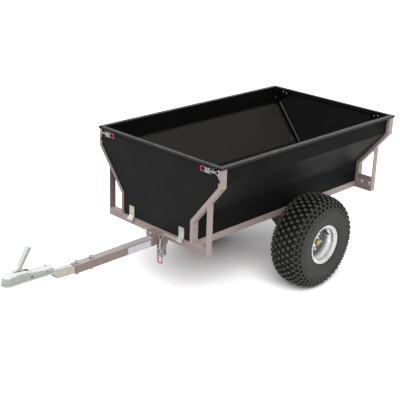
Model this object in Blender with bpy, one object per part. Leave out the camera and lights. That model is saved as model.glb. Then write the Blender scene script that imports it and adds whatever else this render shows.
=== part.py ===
"""All-terrain vehicle trailer: a tipping tub with two folding gates on a two-wheeled chassis.

Units are metres. X runs forward to the coupling, Y to the left, Z up. The tub is drawn about
X = 0 and the whole trailer is moved at the end, so that its box is centred on the origin and
its tyres stand on Z = 0.
"""
import math

import bmesh
import bpy
from mathutils import Vector

# Clearances
GAP = 0.0003              # between pieces that touch
RUNNING = 0.0003          # around pins and shafts
WELD = 0.001              # how far welded pieces reach into each other
GATE_SIDE_CLEARANCE = 0.0015
GATE_FOOT_CLEARANCE = 0.004

# Tub
TUB_WIDTH = 0.960
RIM_TOP = 0.926
RIM_HEIGHT = 0.012
RIM_WALL = 0.002
RIM_OVERHANG = 0.005      # of the rims beyond the frame, front and rear
SIDE_RIM_WIDTH = 0.027
GATE_RIM_WIDTH = 0.022
SHEET = 0.002
FLOOR_THICKNESS = 0.004

# Tub frame
FRAME_LENGTH = 1.516
FRAME_TOP = 0.4555
BEAM = 0.040
BEAM_WALL = 0.0025
CROSS_LENGTH = 0.772
RAIL_OUTER_Y = 0.268
BEARER_SIZE = 0.030
BEARER_X = 0.250

# Bent corner posts, measured at the outer face
POST_INSET = 0.004
POST_FOOT_Y = 0.2865
POST_BEND_DROP = 0.116
POST_FOOT_HEIGHT = 0.1205
POST_DEPTH = 0.020
POST_WIDTH = 0.040
POST_WALL = 0.0025
NOTCH_RADIUS = 0.012
NOTCH_DROP = 0.074
STAY_THICKNESS = 0.005
REAR_PLATE_HEIGHT = 0.0575
REAR_PLATE_THICKNESS = 0.004
REAR_NOTCH_HEIGHT = 0.018
REAR_NOTCH_INNER = 0.040
REAR_NOTCH_OUTER = 0.020
END_FLANGE = 0.022
BOLT_HEAD_RADIUS = 0.0065
BOLT_HEAD_HEIGHT = 0.004
POST_BOLT_HEIGHT = 0.0935

# Gates
GATE_RECESS = 0.006
GATE_DEPTH = 0.016
GATE_SHEET = 0.003

# Gate hinges
STRAP_Y = 0.200
STRAP_WIDTH = 0.040
STRAP_THICKNESS = 0.004
STRAP_HEIGHT = 0.0665
BARREL_RADIUS = 0.0085
HINGE_PIN_RADIUS = 0.005
HINGE_DROP = 0.0105
LONG_BOSS = 0.098
SHORT_BOSS = 0.008
PIN_HEAD = 0.003

# Toggle latches: offsets from the lever pivot towards the catch, sideways and away from the sheet
LATCH_DROP = 0.030
LATCH_PIVOT_INSET = 0.066
LATCH_PIVOT_HEIGHT = 0.012
LATCH_PLATE_BACK = 0.024
LATCH_PLATE_FRONT = 0.011
LATCH_PLATE_HALF = 0.017
LATCH_PLATE_THICKNESS = 0.002
LATCH_EAR_HALF_LENGTH = 0.008
LATCH_EAR_TOP = 0.006
LATCH_CHEEK_INNER = 0.0125
LATCH_CHEEK_WALL = 0.0015
LEVER_LENGTH = 0.040
LEVER_NOSE = 0.006
LEVER_BOTTOM = 0.005
LEVER_TOP = 0.0075
LEVER_ROOF = 0.0015
LEVER_ROOF_START = 0.020
GRIP_LENGTH = 0.069
GRIP_WIRE = 0.0018
GRIP_HALF = 0.0118
LOOP_WIRE = 0.0015
LOOP_PIVOT_BACK = 0.015
LOOP_PIVOT_UP = 0.007
LOOP_NECK = 0.031
LOOP_NECK_HALF = 0.0026
LOOP_REACH = 0.0535
LOOP_HALF = 0.0145
LOOP_BAR_HEIGHT = 0.0103
LOOP_LIFT = 0.002
CATCH_PLATE = 0.0012
CATCH_PLATE_INSET = 0.0028
CATCH_PEG_RADIUS = 0.0025
CATCH_PLAY = 0.0004
CATCH_PLATE_LENGTH = 0.018
CATCH_PLATE_HEIGHT = 0.026
TIP_LATCH_SCALE = 1.35
TIP_LATCH_Y = 0.055
TIP_LATCH_DROP = 0.0215
TIP_LOOP_BAR_HEIGHT = 0.015

# Wheels and axle
TYRE_RADIUS = 0.2795
TYRE_WIDTH = 0.214
TYRE_WALL = 0.009
TYRE_SHOULDER_RADIUS = 0.201
LUG_HEIGHT = 0.0135
LUG_BEVEL = 0.002
TREAD_COLUMNS = 36
TREAD_ANGLES = [math.radians(angle) for angle in (20, 38, 57, 76)]
TREAD_POWER = 0.8333
WHEEL_Y = 0.426
AXLE_X = -0.090
AXLE_RADIUS = 0.020
AXLE_SIDES = 24
AXLE_BEND_OUTER = 0.240
AXLE_BEND_INNER = 0.185
SPINDLE_RADIUS = 0.0125
RIM_RADIUS = 0.118
RIM_SEAT_RADIUS = 0.1025
RIM_WELL_RADIUS = 0.088
RIM_WELL_HALF = 0.050
RIM_HALF_WIDTH = 0.100
RIM_SHEET = 0.0035
RIM_STEPS = 28
DISC_OFFSET = 0.029
DISC_THICKNESS = 0.004
DISC_BORE = 0.034
HUB_BARREL_RADIUS = 0.032
HUB_BARREL_BACK = 0.035
HUB_FLANGE_RADIUS = 0.058
HUB_FLANGE_THICKNESS = 0.006
HUB_CAP_RADIUS = 0.019
HUB_CAP_END = 0.052
HUB_NECK = 0.005
STUD_CIRCLE = 0.045
STUD_COUNT = 4
STUD_RADIUS = 0.006
NUT_RADIUS = 0.011
NUT_HEIGHT = 0.009

# Axle plates under the side rails
AXLE_PLATE_THICKNESS = 0.006
AXLE_PLATE_TOP_HALF = 0.186
AXLE_PLATE_SLOPE = 0.957
AXLE_PLATE_FOOT_HALF = 0.045
AXLE_PLATE_FOOT_DROP = 0.032
AXLE_PLATE_HOLE_RADIUS = 0.006
AXLE_PLATE_HOLE_X = 0.1235
AXLE_PLATE_HOLE_DROP = 0.009

# Drawbar
DRAWBAR = 0.046
DRAWBAR_WALL = 0.002
DRAWBAR_DROP = 0.0045
DRAWBAR_FRONT_X = 1.320
DRAWBAR_REAR_X = -0.140
SADDLE_THICKNESS = 0.004
SADDLE_TOP_HALF = 0.055
SADDLE_FOOT_HALF = 0.032
SADDLE_DROP = 0.030
BAR_BOLT_BACK = (0.022, 0.115)
BAR_BOLT_RADIUS = 0.0115
BAR_BOLT_SHANK = 0.005
BAR_BOLT_HEIGHT = 0.015
WASHER_RADIUS = 0.014
WASHER_THICKNESS = 0.002

# Extension channel, kinked up a little where it leaves the drawbar
EXT_WIDTH = 0.039
EXT_WALL = 0.003
EXT_PLAY = 0.0006
EXT_INSERT = 0.135
EXT_BOTTOM_REACH = 0.112
EXT_BOTTOM_DROP = 0.0378
EXT_TOP_REACH = 0.140
EXT_TOP_RISE = 0.0058
EXT_NOSE_REACH = 0.280
EXT_BRIDGE_BACK = 0.020
EXT_KNEE_DROP = 0.008
EXT_KNEE_AHEAD = 0.008
EXT_KNEE_RISE = 0.003
EXT_NOSE_RISE = 0.012
EXT_STEP_HALF = 0.004
EXT_TROUGH_DROP = 0.004

# Lock pin on top of the drawbar
LOCK_AHEAD = 0.025
LOCK_DROP = 0.0285
LOCK_PIN_RADIUS = 0.005
LOCK_LEG_FAR_Y = -0.0295
LOCK_LEG_NEAR_Y = 0.0095
LOCK_LEG_THICKNESS = 0.0025
LOCK_LEG_HALF = 0.013
LOCK_LEG_HEIGHT = 0.014
LOCK_COLLAR_Y = 0.0035
LOCK_COLLAR_THICKNESS = 0.003
LOCK_COLLAR_RADIUS = 0.009
LOCK_RING_RADIUS = 0.012
LOCK_RING_WIRE = 0.0022
LOCK_RING_Y = -0.056
LOCK_LUG_Y = 0.0185
LOCK_LUG_THICKNESS = 0.005
LOCK_LUG_REACH = 0.039
LOCK_TIP_CLEARANCE = 0.0025
SPRING_WIRE = 0.0011
SPRING_RADIUS = 0.0075
SPRING_TURNS = 6
SPRING_POINTS = 10
TIP_BRACKET_WIDTH = 0.0665
TIP_BRACKET_FOOT_WIDTH = 0.055
TIP_BRACKET_CORNER = (0.018, 0.034)     # drops where its free edge slants in
TIP_BRACKET_DEPTH = 0.098
TIP_BRACKET_THICKNESS = 0.004
REST_PAD_LENGTH = 0.030

# Ball coupling
COUPLING_TAIL = 0.1335
COUPLING_HALF = 0.025
COUPLING_WALL = 0.003
COUPLING_CROWN = 0.004
COUPLING_FLANGE = 0.009
COUPLING_FLANGE_THICKNESS = 0.003
HEAD_REACH = 0.2495
HEAD_RADIUS = 0.031
HEAD_RISE = 0.0695
SOCKET_RADIUS = 0.0256
SOCKET_RISE = 0.0330
# Sections of the body: how far from its tail, half width, foot and roof above the drawbar
COUPLING_SECTIONS = (
    (0.0000, 0.025, 0.0040, 0.0445),
    (0.0665, 0.025, 0.0074, 0.0480),
    (0.1265, 0.026, 0.0105, 0.0570),
    (0.1615, 0.027, 0.0123, 0.0680),
    (0.2065, 0.028, 0.0146, 0.0720),
    (0.2415, 0.029, 0.0164, 0.0670),
)
# Holes in its sides: how far from its tail, height above the drawbar, radius
SIDE_HOLES = ((0.1295, 0.0270, 0.0058), (0.0375, 0.0250, 0.0040))
TOP_BOLT_REACH = 0.0335
TOP_BOLT_RADIUS = 0.007
TOP_BOLT_SHANK = 0.004
TOP_BOLT_HEIGHT = 0.004
HANDLE_PIVOT_REACH = 0.1725
HANDLE_PIVOT_RISE = 0.0428
HANDLE_PIN_RADIUS = 0.004
HANDLE_PIN_HEAD = 0.0025
HANDLE_BOSS = 0.0075
HANDLE_BASE_AHEAD = 0.018
HANDLE_BASE_OVER = 0.0322
HANDLE_FOOT_FRONT = 0.028
HANDLE_FOOT_REAR = 0.028
HANDLE_HALF = 0.013
HANDLE_WALL = 0.0025
HANDLE_LENGTH = 0.121
HANDLE_LEAN = math.radians(123)
HANDLE_DEPTH = 0.018
SLOT_PLAY = 0.0015
SLOT_AHEAD = 0.024
SLOT_BEHIND = 0.036
JAW_PIVOT_BACK = 0.0315
JAW_PIVOT_RISE = 0.0370
JAW_PIN_RADIUS = 0.003
JAW_HALF = 0.015
JAW_THICKNESS = 0.012

# Values that follow from the sizes above
TUB_LENGTH = FRAME_LENGTH + 2 * RIM_OVERHANG
FRONT_FACE = FRAME_LENGTH / 2
BEAM_BOTTOM = FRAME_TOP - BEAM
POST_TOP_Y = TUB_WIDTH / 2 - POST_INSET
POST_UPPER_BEND = RIM_TOP - POST_BEND_DROP
POST_LOWER_BEND = FRAME_TOP + POST_FOOT_HEIGHT
NOTCH_Z = RIM_TOP - NOTCH_DROP
REAR_PLATE_TOP = FRAME_TOP + REAR_PLATE_HEIGHT
POST_BOLT_Z = FRAME_TOP + POST_BOLT_HEIGHT
STRAP_TOP = FRAME_TOP + STRAP_HEIGHT
LATCH_Z = RIM_TOP - LATCH_DROP
LATCH_PIVOT_Y = POST_TOP_Y - LATCH_PIVOT_INSET
TIP_LATCH_BAR_Z = FRAME_TOP - TIP_LATCH_DROP
DRAWBAR_TOP = BEAM_BOTTOM - DRAWBAR_DROP
LOCK_X = FRONT_FACE + LOCK_AHEAD
LOCK_Z = FRAME_TOP - LOCK_DROP
LOCK_LEG_TOP = LOCK_Z + LOCK_LEG_HEIGHT
BAR_BOLT_X = [DRAWBAR_FRONT_X - back for back in BAR_BOLT_BACK]
EXT_BOTTOM_FRONT_X = DRAWBAR_FRONT_X + EXT_BOTTOM_REACH
EXT_BOTTOM_FRONT_Z = DRAWBAR_TOP - EXT_BOTTOM_DROP
EXT_TOP_FRONT_X = DRAWBAR_FRONT_X + EXT_TOP_REACH
EXT_TOP_FRONT_Z = DRAWBAR_TOP + EXT_TOP_RISE
EXT_NOSE_X = DRAWBAR_FRONT_X + EXT_NOSE_REACH
EXT_BRIDGE_X = EXT_NOSE_X - EXT_BRIDGE_BACK
COUPLING_TAIL_X = DRAWBAR_FRONT_X + COUPLING_TAIL
HEAD_X = COUPLING_TAIL_X + HEAD_REACH
HEAD_TOP = DRAWBAR_TOP + HEAD_RISE
SOCKET_Z = DRAWBAR_TOP + SOCKET_RISE
COUPLING_STATIONS = [(COUPLING_TAIL_X + x, half, DRAWBAR_TOP + low, DRAWBAR_TOP + high)
                     for x, half, low, high in COUPLING_SECTIONS]
TOP_BOLT_X = COUPLING_TAIL_X + TOP_BOLT_REACH
HANDLE_PIVOT_X = COUPLING_TAIL_X + HANDLE_PIVOT_REACH
HANDLE_PIVOT_Z = DRAWBAR_TOP + HANDLE_PIVOT_RISE
HANDLE_BASE_X = HANDLE_PIVOT_X + HANDLE_BASE_AHEAD
HANDLE_BASE_Z = HANDLE_PIVOT_Z + HANDLE_BASE_OVER
SLOT_FRONT_X = HANDLE_PIVOT_X + SLOT_AHEAD
SLOT_REAR_X = HANDLE_PIVOT_X - SLOT_BEHIND
JAW_PIVOT_X = HEAD_X - JAW_PIVOT_BACK
JAW_PIVOT_Z = DRAWBAR_TOP + JAW_PIVOT_RISE
GATE_FRONT = FRONT_FACE - GATE_RECESS
GATE_BACK = GATE_FRONT - GATE_DEPTH
SHEET_END = GATE_BACK - GATE_SIDE_CLEARANCE
UNDER_RIM = RIM_TOP - RIM_HEIGHT - GAP
WALL_OFFSET = POST_DEPTH + GAP
WALL_INNER = WALL_OFFSET + SHEET
HINGE_X = FRONT_FACE + BARREL_RADIUS + GAP
HINGE_Z = FRAME_TOP - HINGE_DROP
AXLE_Z = TYRE_RADIUS
DRAWBAR_BOTTOM = DRAWBAR_TOP - DRAWBAR
AXLE_MIDDLE_Z = DRAWBAR_BOTTOM - GAP - AXLE_RADIUS
HEAD_BOTTOM = COUPLING_STATIONS[-1][2]
NOSE_X = HEAD_X + HEAD_RADIUS + COUPLING_FLANGE
REAR_X = -(HINGE_X + BARREL_RADIUS)
CENTRE_SHIFT = -(NOSE_X + REAR_X) / 2


def clear_scene():
    for item in list(bpy.data.objects):
        bpy.data.objects.remove(item, do_unlink=True)


def make_material(name, colour, roughness, metallic):
    material = bpy.data.materials.new(name)
    material.use_nodes = True
    shader = material.node_tree.nodes["Principled BSDF"]
    shader.inputs["Base Color"].default_value = (*colour, 1.0)
    shader.inputs["Roughness"].default_value = roughness
    shader.inputs["Metallic"].default_value = metallic
    material.diffuse_color = (*colour, 1.0)
    return material


# Shapes are pairs of points and faces in trailer coordinates.

def joined(shapes):
    points, faces = [], []
    for shape_points, shape_faces in shapes:
        start = len(points)
        points += shape_points
        faces += [[start + index for index in face] for face in shape_faces]
    return points, faces


def mapped(shape, change):
    points, faces = shape
    return [Vector(change(*point)) for point in points], faces


def mirrored(shape):
    return mapped(shape, lambda x, y, z: (x, -y, z))


def reversed_x(shape):
    return mapped(shape, lambda x, y, z: (-x, y, z))


def placed(axis, along, first, second):
    """Puts one coordinate along an axis and the other two on the remaining axes, in order."""
    rest = [first, second]
    return Vector(rest[:axis] + [along] + rest[axis:])


def prism(outline, low, high, axis):
    count = len(outline)
    points = [placed(axis, low, a, b) for a, b in outline]
    points += [placed(axis, high, a, b) for a, b in outline]
    faces = [list(range(count)), list(range(count, 2 * count))]
    for index in range(count):
        after = (index + 1) % count
        faces.append([index, after, after + count, index + count])
    return points, faces


def box(low, high):
    outline = [(low[1], low[2]), (high[1], low[2]), (high[1], high[2]), (low[1], high[2])]
    return prism(outline, low[0], high[0], 0)


def square_tube(low, high, axis, wall):
    """An open-ended rectangular tube between two corners."""
    others = [index for index in range(3) if index != axis]
    outer = [(low[others[0]], low[others[1]]), (high[others[0]], low[others[1]]),
             (high[others[0]], high[others[1]]), (low[others[0]], high[others[1]])]
    signs = [(1, 1), (-1, 1), (-1, -1), (1, -1)]
    inner = [(a + wall * i, b + wall * j) for (a, b), (i, j) in zip(outer, signs)]
    points = []
    for along in (low[axis], high[axis]):
        points += [placed(axis, along, a, b) for a, b in outer]
        points += [placed(axis, along, a, b) for a, b in inner]
    faces = []
    for index in range(4):
        after = (index + 1) % 4
        faces.append([index, after, after + 8, index + 8])
        faces.append([index + 4, after + 4, after + 12, index + 12])
        faces.append([index, after, after + 4, index + 4])
        faces.append([index + 8, after + 8, after + 12, index + 12])
    return points, faces


def turned(profile, axis, centre, steps, start=0.0):
    """Spins a profile of (radius, height) about an axis. A profile that ends at radius 0 is
    capped by points on the axis, any other one closes on itself."""
    capped = profile[0][0] == 0
    points, rings = [], []
    for radius, height in profile:
        if radius == 0:
            rings.append([len(points)] * steps)
            points.append(placed(axis, height, 0, 0))
            continue
        rings.append(list(range(len(points), len(points) + steps)))
        for step in range(steps):
            angle = start + 2 * math.pi * step / steps
            points.append(placed(axis, height, radius * math.cos(angle), radius * math.sin(angle)))
    faces = []
    count = len(rings)
    for index in range(count - 1 if capped else count):
        ring, after = rings[index], rings[(index + 1) % count]
        for step in range(steps):
            turn = (step + 1) % steps
            face = [ring[step], ring[turn], after[turn], after[step]]
            faces.append(list(dict.fromkeys(face)))
    offset = Vector(centre)
    return [point + offset for point in points], faces


def rod(radius, low, high, axis, centre, steps=16, start=0.0):
    profile = [(0, low), (radius, low), (radius, high), (0, high)]
    return turned(profile, axis, centre, steps, start)


def hexagon_head(radius, low, high, axis, centre):
    """A hexagonal prism along an axis through a centre."""
    first, second = [centre[index] for index in range(3) if index != axis]
    outline = [(first + radius * math.cos(math.radians(60 * step)),
                second + radius * math.sin(math.radians(60 * step))) for step in range(6)]
    return prism(outline, low, high, axis)


def wire(points, radius, sides, closed, guide):
    """A round wire along a line of points. The guide is a direction, or one for each point,
    that the wire's section is squared to."""
    points = [Vector(point) for point in points]
    count = len(points)
    verts, rings = [], []
    for index, point in enumerate(points):
        before = points[index - 1] if closed or index > 0 else None
        after = points[(index + 1) % count] if closed or index < count - 1 else None
        arriving = (point - before).normalized() if before else (after - point).normalized()
        leaving = (after - point).normalized() if after else arriving
        tangent = (arriving + leaving).normalized()
        up = Vector(guide[index]) if isinstance(guide, list) else Vector(guide)
        up = (up - tangent * up.dot(tangent)).normalized()
        side = tangent.cross(up)
        stretch = min(2.0, 1 / max(0.3, arriving.dot(tangent)))
        ring = []
        for step in range(sides):
            angle = 2 * math.pi * (step + 0.5) / sides
            ring.append(len(verts))
            verts.append(point + up * radius * math.cos(angle)
                         + side * radius * stretch * math.sin(angle))
        rings.append(ring)
    faces = []
    for index in range(count if closed else count - 1):
        ring, after = rings[index], rings[(index + 1) % count]
        for step in range(sides):
            turn = (step + 1) % sides
            faces.append([ring[step], ring[turn], after[turn], after[step]])
    if not closed:
        faces += [rings[0], rings[-1]]
    return verts, faces


def blocks(xs, ys, zs, filled):
    """A solid made of the cells of a grid of planes that the test picks."""
    cells = {(i, j, k) for i in range(len(xs) - 1) for j in range(len(ys) - 1)
             for k in range(len(zs) - 1) if filled(i, j, k)}
    corners, points, faces = {}, [], []

    def corner(i, j, k):
        if (i, j, k) not in corners:
            corners[(i, j, k)] = len(points)
            points.append(Vector((xs[i], ys[j], zs[k])))
        return corners[(i, j, k)]

    squares = {
        (1, 0, 0): ((1, 0, 0), (1, 1, 0), (1, 1, 1), (1, 0, 1)),
        (-1, 0, 0): ((0, 0, 0), (0, 0, 1), (0, 1, 1), (0, 1, 0)),
        (0, 1, 0): ((0, 1, 0), (0, 1, 1), (1, 1, 1), (1, 1, 0)),
        (0, -1, 0): ((0, 0, 0), (1, 0, 0), (1, 0, 1), (0, 0, 1)),
        (0, 0, 1): ((0, 0, 1), (1, 0, 1), (1, 1, 1), (0, 1, 1)),
        (0, 0, -1): ((0, 0, 0), (0, 1, 0), (1, 1, 0), (1, 0, 0)),
    }
    for i, j, k in sorted(cells):
        for (di, dj, dk), square in squares.items():
            if (i + di, j + dj, k + dk) not in cells:
                faces.append([corner(i + a, j + b, k + c) for a, b, c in square])
    return points, faces


def world_place(item):
    """Where an unturned object's origin lies, through its parents."""
    place = Vector(item.location)
    while item.parent is not None:
        item = item.parent
        place += item.location
    return place


def build(name, shape, material, at=None, parent=None, smooth=None):
    """Makes a mesh object with its origin at a point, or at its pivot's if it has one."""
    if at is None:
        at = world_place(parent) if parent is not None else (0, 0, 0)
    points, faces = shape
    origin = Vector(at)
    mesh = bpy.data.meshes.new(name)
    mesh.from_pydata([point - origin for point in points], [], faces)
    work = bmesh.new()
    work.from_mesh(mesh)
    bmesh.ops.recalc_face_normals(work, faces=work.faces)
    work.to_mesh(mesh)
    work.free()
    if smooth is not None:
        mesh.shade_smooth()
        mesh.set_sharp_from_angle(angle=math.radians(smooth))
    item = bpy.data.objects.new(name, mesh)
    bpy.context.scene.collection.objects.link(item)
    if material is not None:
        mesh.materials.append(material)
    item.location = origin
    if parent is not None:
        item.parent = parent
        item.location = origin - world_place(parent)
    return item


def pivot(name, at, parent=None):
    """An empty on a joint's axis, under the pivot of the body that carries it."""
    empty = bpy.data.objects.new(name, None)
    bpy.context.scene.collection.objects.link(empty)
    empty.location = Vector(at)
    if parent is not None:
        empty.location = Vector(at) - world_place(parent)
        empty.parent = parent
    return empty


def combine(item, shape, operation, name):
    tool = build(name, shape, None)
    tool.hide_render = True
    tool.display_type = "WIRE"
    modifier = item.modifiers.new(name, "BOOLEAN")
    modifier.operation = operation
    modifier.object = tool
    modifier.solver = "EXACT"
    return item


def cut(item, shape, name):
    return combine(item, shape, "DIFFERENCE", name)


def fuse(item, shape, name):
    return combine(item, shape, "UNION", name)


# The bent outline of the tub's side

def side_path(foot, head=UNDER_RIM):
    """The outer face of the left-hand posts as (y, z) points, from foot to head."""
    return [(POST_FOOT_Y, foot), (POST_FOOT_Y, POST_LOWER_BEND),
            (POST_TOP_Y, POST_UPPER_BEND), (POST_TOP_Y, head)]


def shifted(path, distance):
    """The same outline, moved inwards with its bends mitred."""
    normals = []
    for (y0, z0), (y1, z1) in zip(path, path[1:]):
        length = math.hypot(y1 - y0, z1 - z0)
        normals.append((-(z1 - z0) / length, (y1 - y0) / length))
    result = []
    for index, (y, z) in enumerate(path):
        first = normals[max(index - 1, 0)]
        last = normals[min(index, len(normals) - 1)]
        share = distance / (1 + first[0] * last[0] + first[1] * last[1])
        result.append((y + share * (first[0] + last[0]), z + share * (first[1] + last[1])))
    return result


def bent(path, section):
    """Sweeps a section of (depth, x) points along the outline. Depth is measured inwards."""
    count = len(section)
    columns = [shifted(path, depth) for depth, _ in section]
    points, faces = [], []
    for stop in range(len(path)):
        for (_, x), column in zip(section, columns):
            points.append(Vector((x, column[stop][0], column[stop][1])))
    for stop in range(len(path) - 1):
        for index in range(count):
            after = (index + 1) % count
            low, high = stop * count, (stop + 1) * count
            faces.append([low + index, low + after, high + after, high + index])
    faces.append(list(range(count)))
    faces.append([(len(path) - 1) * count + index for index in range(count)])
    return points, faces


def corners(shape):
    """A front left shape and its copies at the other corners, by name."""
    rear = reversed_x(shape)
    return {"fl": shape, "fr": mirrored(shape), "rl": rear, "rr": mirrored(rear)}


def slope_height(y, depth):
    """How high the posts' slope stands at y, at a depth inside its outer face."""
    rise = (POST_UPPER_BEND - POST_LOWER_BEND) / (POST_TOP_Y - POST_FOOT_Y)
    return POST_LOWER_BEND + (y - POST_FOOT_Y) * rise + depth * math.hypot(1, rise)


def make_crossmembers(paint, parent):
    """The two beams under the gates, each with its hinge pins welded on."""
    half = CROSS_LENGTH / 2
    beam = square_tube((FRONT_FACE - BEAM, -half, BEAM_BOTTOM), (FRONT_FACE, half, FRAME_TOP),
                       1, BEAM_WALL)
    front = build("crossmember_front", beam, paint, parent=parent)
    rear = build("crossmember_rear", reversed_x(beam), paint, parent=parent)
    long_pin, short_pin = hinge_pin(LONG_BOSS), hinge_pin(SHORT_BOSS)
    long_weld, short_weld = hinge_weld(LONG_BOSS), hinge_weld(SHORT_BOSS)
    fuse(front, joined([long_weld, mirrored(short_weld)]), "front_hinge_welds")
    fuse(front, joined([long_pin, mirrored(short_pin)]), "front_hinge_pins")
    welds = joined([short_weld, mirrored(short_weld)])
    fuse(rear, reversed_x(welds), "rear_hinge_welds")
    fuse(rear, reversed_x(joined([short_pin, mirrored(short_pin)])), "rear_hinge_pins")
    fuse(rear, rear_plates(), "rear_corner_plates")
    add_lock_lugs(front)


def rear_plates():
    """Upright plates on the rear crossmember, between the posts and the stays."""
    low = FRAME_TOP - WELD
    step = FRAME_TOP + REAR_NOTCH_HEIGHT
    edge_in = POST_FOOT_Y + GAP
    edge_out = CROSS_LENGTH / 2
    foot_in = edge_in + REAR_NOTCH_INNER
    foot_out = edge_out - REAR_NOTCH_OUTER
    outline = [(foot_in, low), (foot_out, low), (foot_out, step), (edge_out, step),
               (edge_out, REAR_PLATE_TOP), (edge_in, REAR_PLATE_TOP), (edge_in, step),
               (foot_in, step)]
    face = BEAM - FRONT_FACE - WELD
    plate = prism(outline, face - REAR_PLATE_THICKNESS, face, 0)
    return joined([plate, mirrored(plate)])


def make_rails(paint, parent):
    rail_end = FRONT_FACE - BEAM - GAP
    rail = square_tube((-rail_end, RAIL_OUTER_Y - BEAM, BEAM_BOTTOM),
                       (rail_end, RAIL_OUTER_Y, FRAME_TOP), 0, BEAM_WALL)
    build("side_rail_left", rail, paint, parent=parent)
    build("side_rail_right", mirrored(rail), paint, parent=parent)
    reach = RAIL_OUTER_Y - BEAM - GAP
    bearer = square_tube((BEARER_X - BEARER_SIZE / 2, -reach, FRAME_TOP - BEARER_SIZE),
                         (BEARER_X + BEARER_SIZE / 2, reach, FRAME_TOP), 1, BEAM_WALL)
    build("floor_bearer_front", bearer, paint, parent=parent)
    build("floor_bearer_rear", reversed_x(bearer), paint, parent=parent)


def make_posts(paint, parent):
    """Four bent channels, each with the flat stay that props it and the latch's catch."""
    back, lip = FRONT_FACE - POST_WIDTH, FRONT_FACE - POST_WALL
    channel = [(0, FRONT_FACE), (POST_DEPTH, FRONT_FACE), (POST_DEPTH, lip), (POST_WALL, lip),
               (POST_WALL, back + POST_WALL), (POST_DEPTH, back + POST_WALL),
               (POST_DEPTH, back), (0, back)]
    inner = CROSS_LENGTH / 2 + GAP
    outer = inner + STAY_THICKNESS
    sunk = POST_WALL / 2
    outline = [(inner, BEAM_BOTTOM), (outer, BEAM_BOTTOM), (outer, slope_height(outer, sunk)),
               (inner, slope_height(inner, sunk))]
    stay = prism(outline, back, FRONT_FACE, 0)
    plate, peg = corner_latch(1, 1).catch(CATCH_PLATE_INSET, WELD)
    bolt_face = POST_FOOT_Y - WELD
    centre = (FRONT_FACE - POST_WIDTH / 2, 0, POST_BOLT_Z)
    bolt = hexagon_head(BOLT_HEAD_RADIUS, bolt_face, POST_FOOT_Y + BOLT_HEAD_HEIGHT, 1, centre)
    extras = corners(joined([stay, plate, bolt]))
    pegs = corners(peg)
    for tag, shape in corners(bent(side_path(FRAME_TOP + GAP), channel)).items():
        post = build(f"post_{tag}", shape, paint, parent=parent)
        fuse(post, extras[tag], f"post_{tag}_stay")
        fuse(post, pegs[tag], f"post_{tag}_peg")
        if tag[0] == "f":
            side = 1 if tag == "fl" else -1
            centre = (0, side * (POST_TOP_Y - POST_DEPTH), NOTCH_Z)
            notch = rod(NOTCH_RADIUS, lip - POST_WALL, FRONT_FACE + POST_WALL, 0, centre, 16)
            cut(post, notch, f"notch_{tag}")


def make_axle_plates(paint, parent):
    top = BEAM_BOTTOM - GAP
    waist = AXLE_PLATE_TOP_HALF - AXLE_PLATE_SLOPE * (top - AXLE_Z)
    foot = AXLE_Z - AXLE_PLATE_FOOT_DROP
    shape = [(-AXLE_PLATE_TOP_HALF, top), (-waist, AXLE_Z), (-AXLE_PLATE_FOOT_HALF, foot),
             (AXLE_PLATE_FOOT_HALF, foot), (waist, AXLE_Z), (AXLE_PLATE_TOP_HALF, top)]
    outline = [(AXLE_X + x, z) for x, z in shape]
    plate = prism(outline, RAIL_OUTER_Y - AXLE_PLATE_THICKNESS, RAIL_OUTER_Y, 1)
    reach = RAIL_OUTER_Y + AXLE_PLATE_THICKNESS
    hole_z = top - AXLE_PLATE_HOLE_DROP
    holes = [axle_bore(reach, RUNNING, AXLE_Z)]
    for side in (-1, 1):
        centre = (AXLE_X + side * AXLE_PLATE_HOLE_X, 0, hole_z)
        holes.append(rod(AXLE_PLATE_HOLE_RADIUS, -reach, reach, 1, centre, 12))
    for tag, change in (("left", None), ("right", mirrored)):
        item = build(f"axle_plate_{tag}", change(plate) if change else plate, paint,
                     parent=parent)
        cut(item, joined(holes), f"axle_plate_{tag}_holes")


def make_tub(black, rim, parent):
    """The floor, the bent side walls with their ends turned in, and the tubes on top."""
    flange = WALL_OFFSET + END_FLANGE
    turned_in = SHEET_END - SHEET
    section = [(WALL_OFFSET, -SHEET_END), (flange, -SHEET_END), (flange, -turned_in),
               (WALL_INNER, -turned_in), (WALL_INNER, turned_in), (flange, turned_in),
               (flange, SHEET_END), (WALL_OFFSET, SHEET_END)]
    wall = bent(side_path(FRAME_TOP + GAP), section)
    build("side_wall_left", wall, black, parent=parent)
    build("side_wall_right", mirrored(wall), black, parent=parent)
    half = POST_FOOT_Y - WALL_INNER - GAP
    end = turned_in - GAP
    floor = box((-end, -half, FRAME_TOP + GAP), (end, half, FRAME_TOP + GAP + FLOOR_THICKNESS))
    build("floor", floor, black, parent=parent)
    half = TUB_WIDTH / 2
    bar = square_tube((-TUB_LENGTH / 2, half - SIDE_RIM_WIDTH, RIM_TOP - RIM_HEIGHT),
                      (TUB_LENGTH / 2, half, RIM_TOP), 0, RIM_WALL)
    build("side_rim_left", bar, rim, parent=parent)
    build("side_rim_right", mirrored(bar), rim, parent=parent)


def gate_outline(inset):
    low = FRAME_TOP + GATE_FOOT_CLEARANCE + inset
    high = UNDER_RIM - inset
    path = shifted(side_path(low, high), POST_DEPTH + GATE_SIDE_CLEARANCE + inset)
    return [(-y, z) for y, z in reversed(path)] + path


def gate_pan():
    """A sheet with its edges turned back, open towards the tub."""
    outer, inner = gate_outline(0), gate_outline(GATE_SHEET)
    count = len(outer)
    points = [Vector((GATE_FRONT, y, z)) for y, z in outer]
    points += [Vector((GATE_BACK, y, z)) for y, z in outer]
    points += [Vector((GATE_BACK, y, z)) for y, z in inner]
    points += [Vector((GATE_FRONT - GATE_SHEET, y, z)) for y, z in inner]
    faces = [list(range(count)), list(range(3 * count, 4 * count))]
    for layer in range(3):
        for index in range(count):
            after = (index + 1) % count
            low, high = layer * count, (layer + 1) * count
            faces.append([low + index, low + after, high + after, high + index])
    return points, faces


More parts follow.
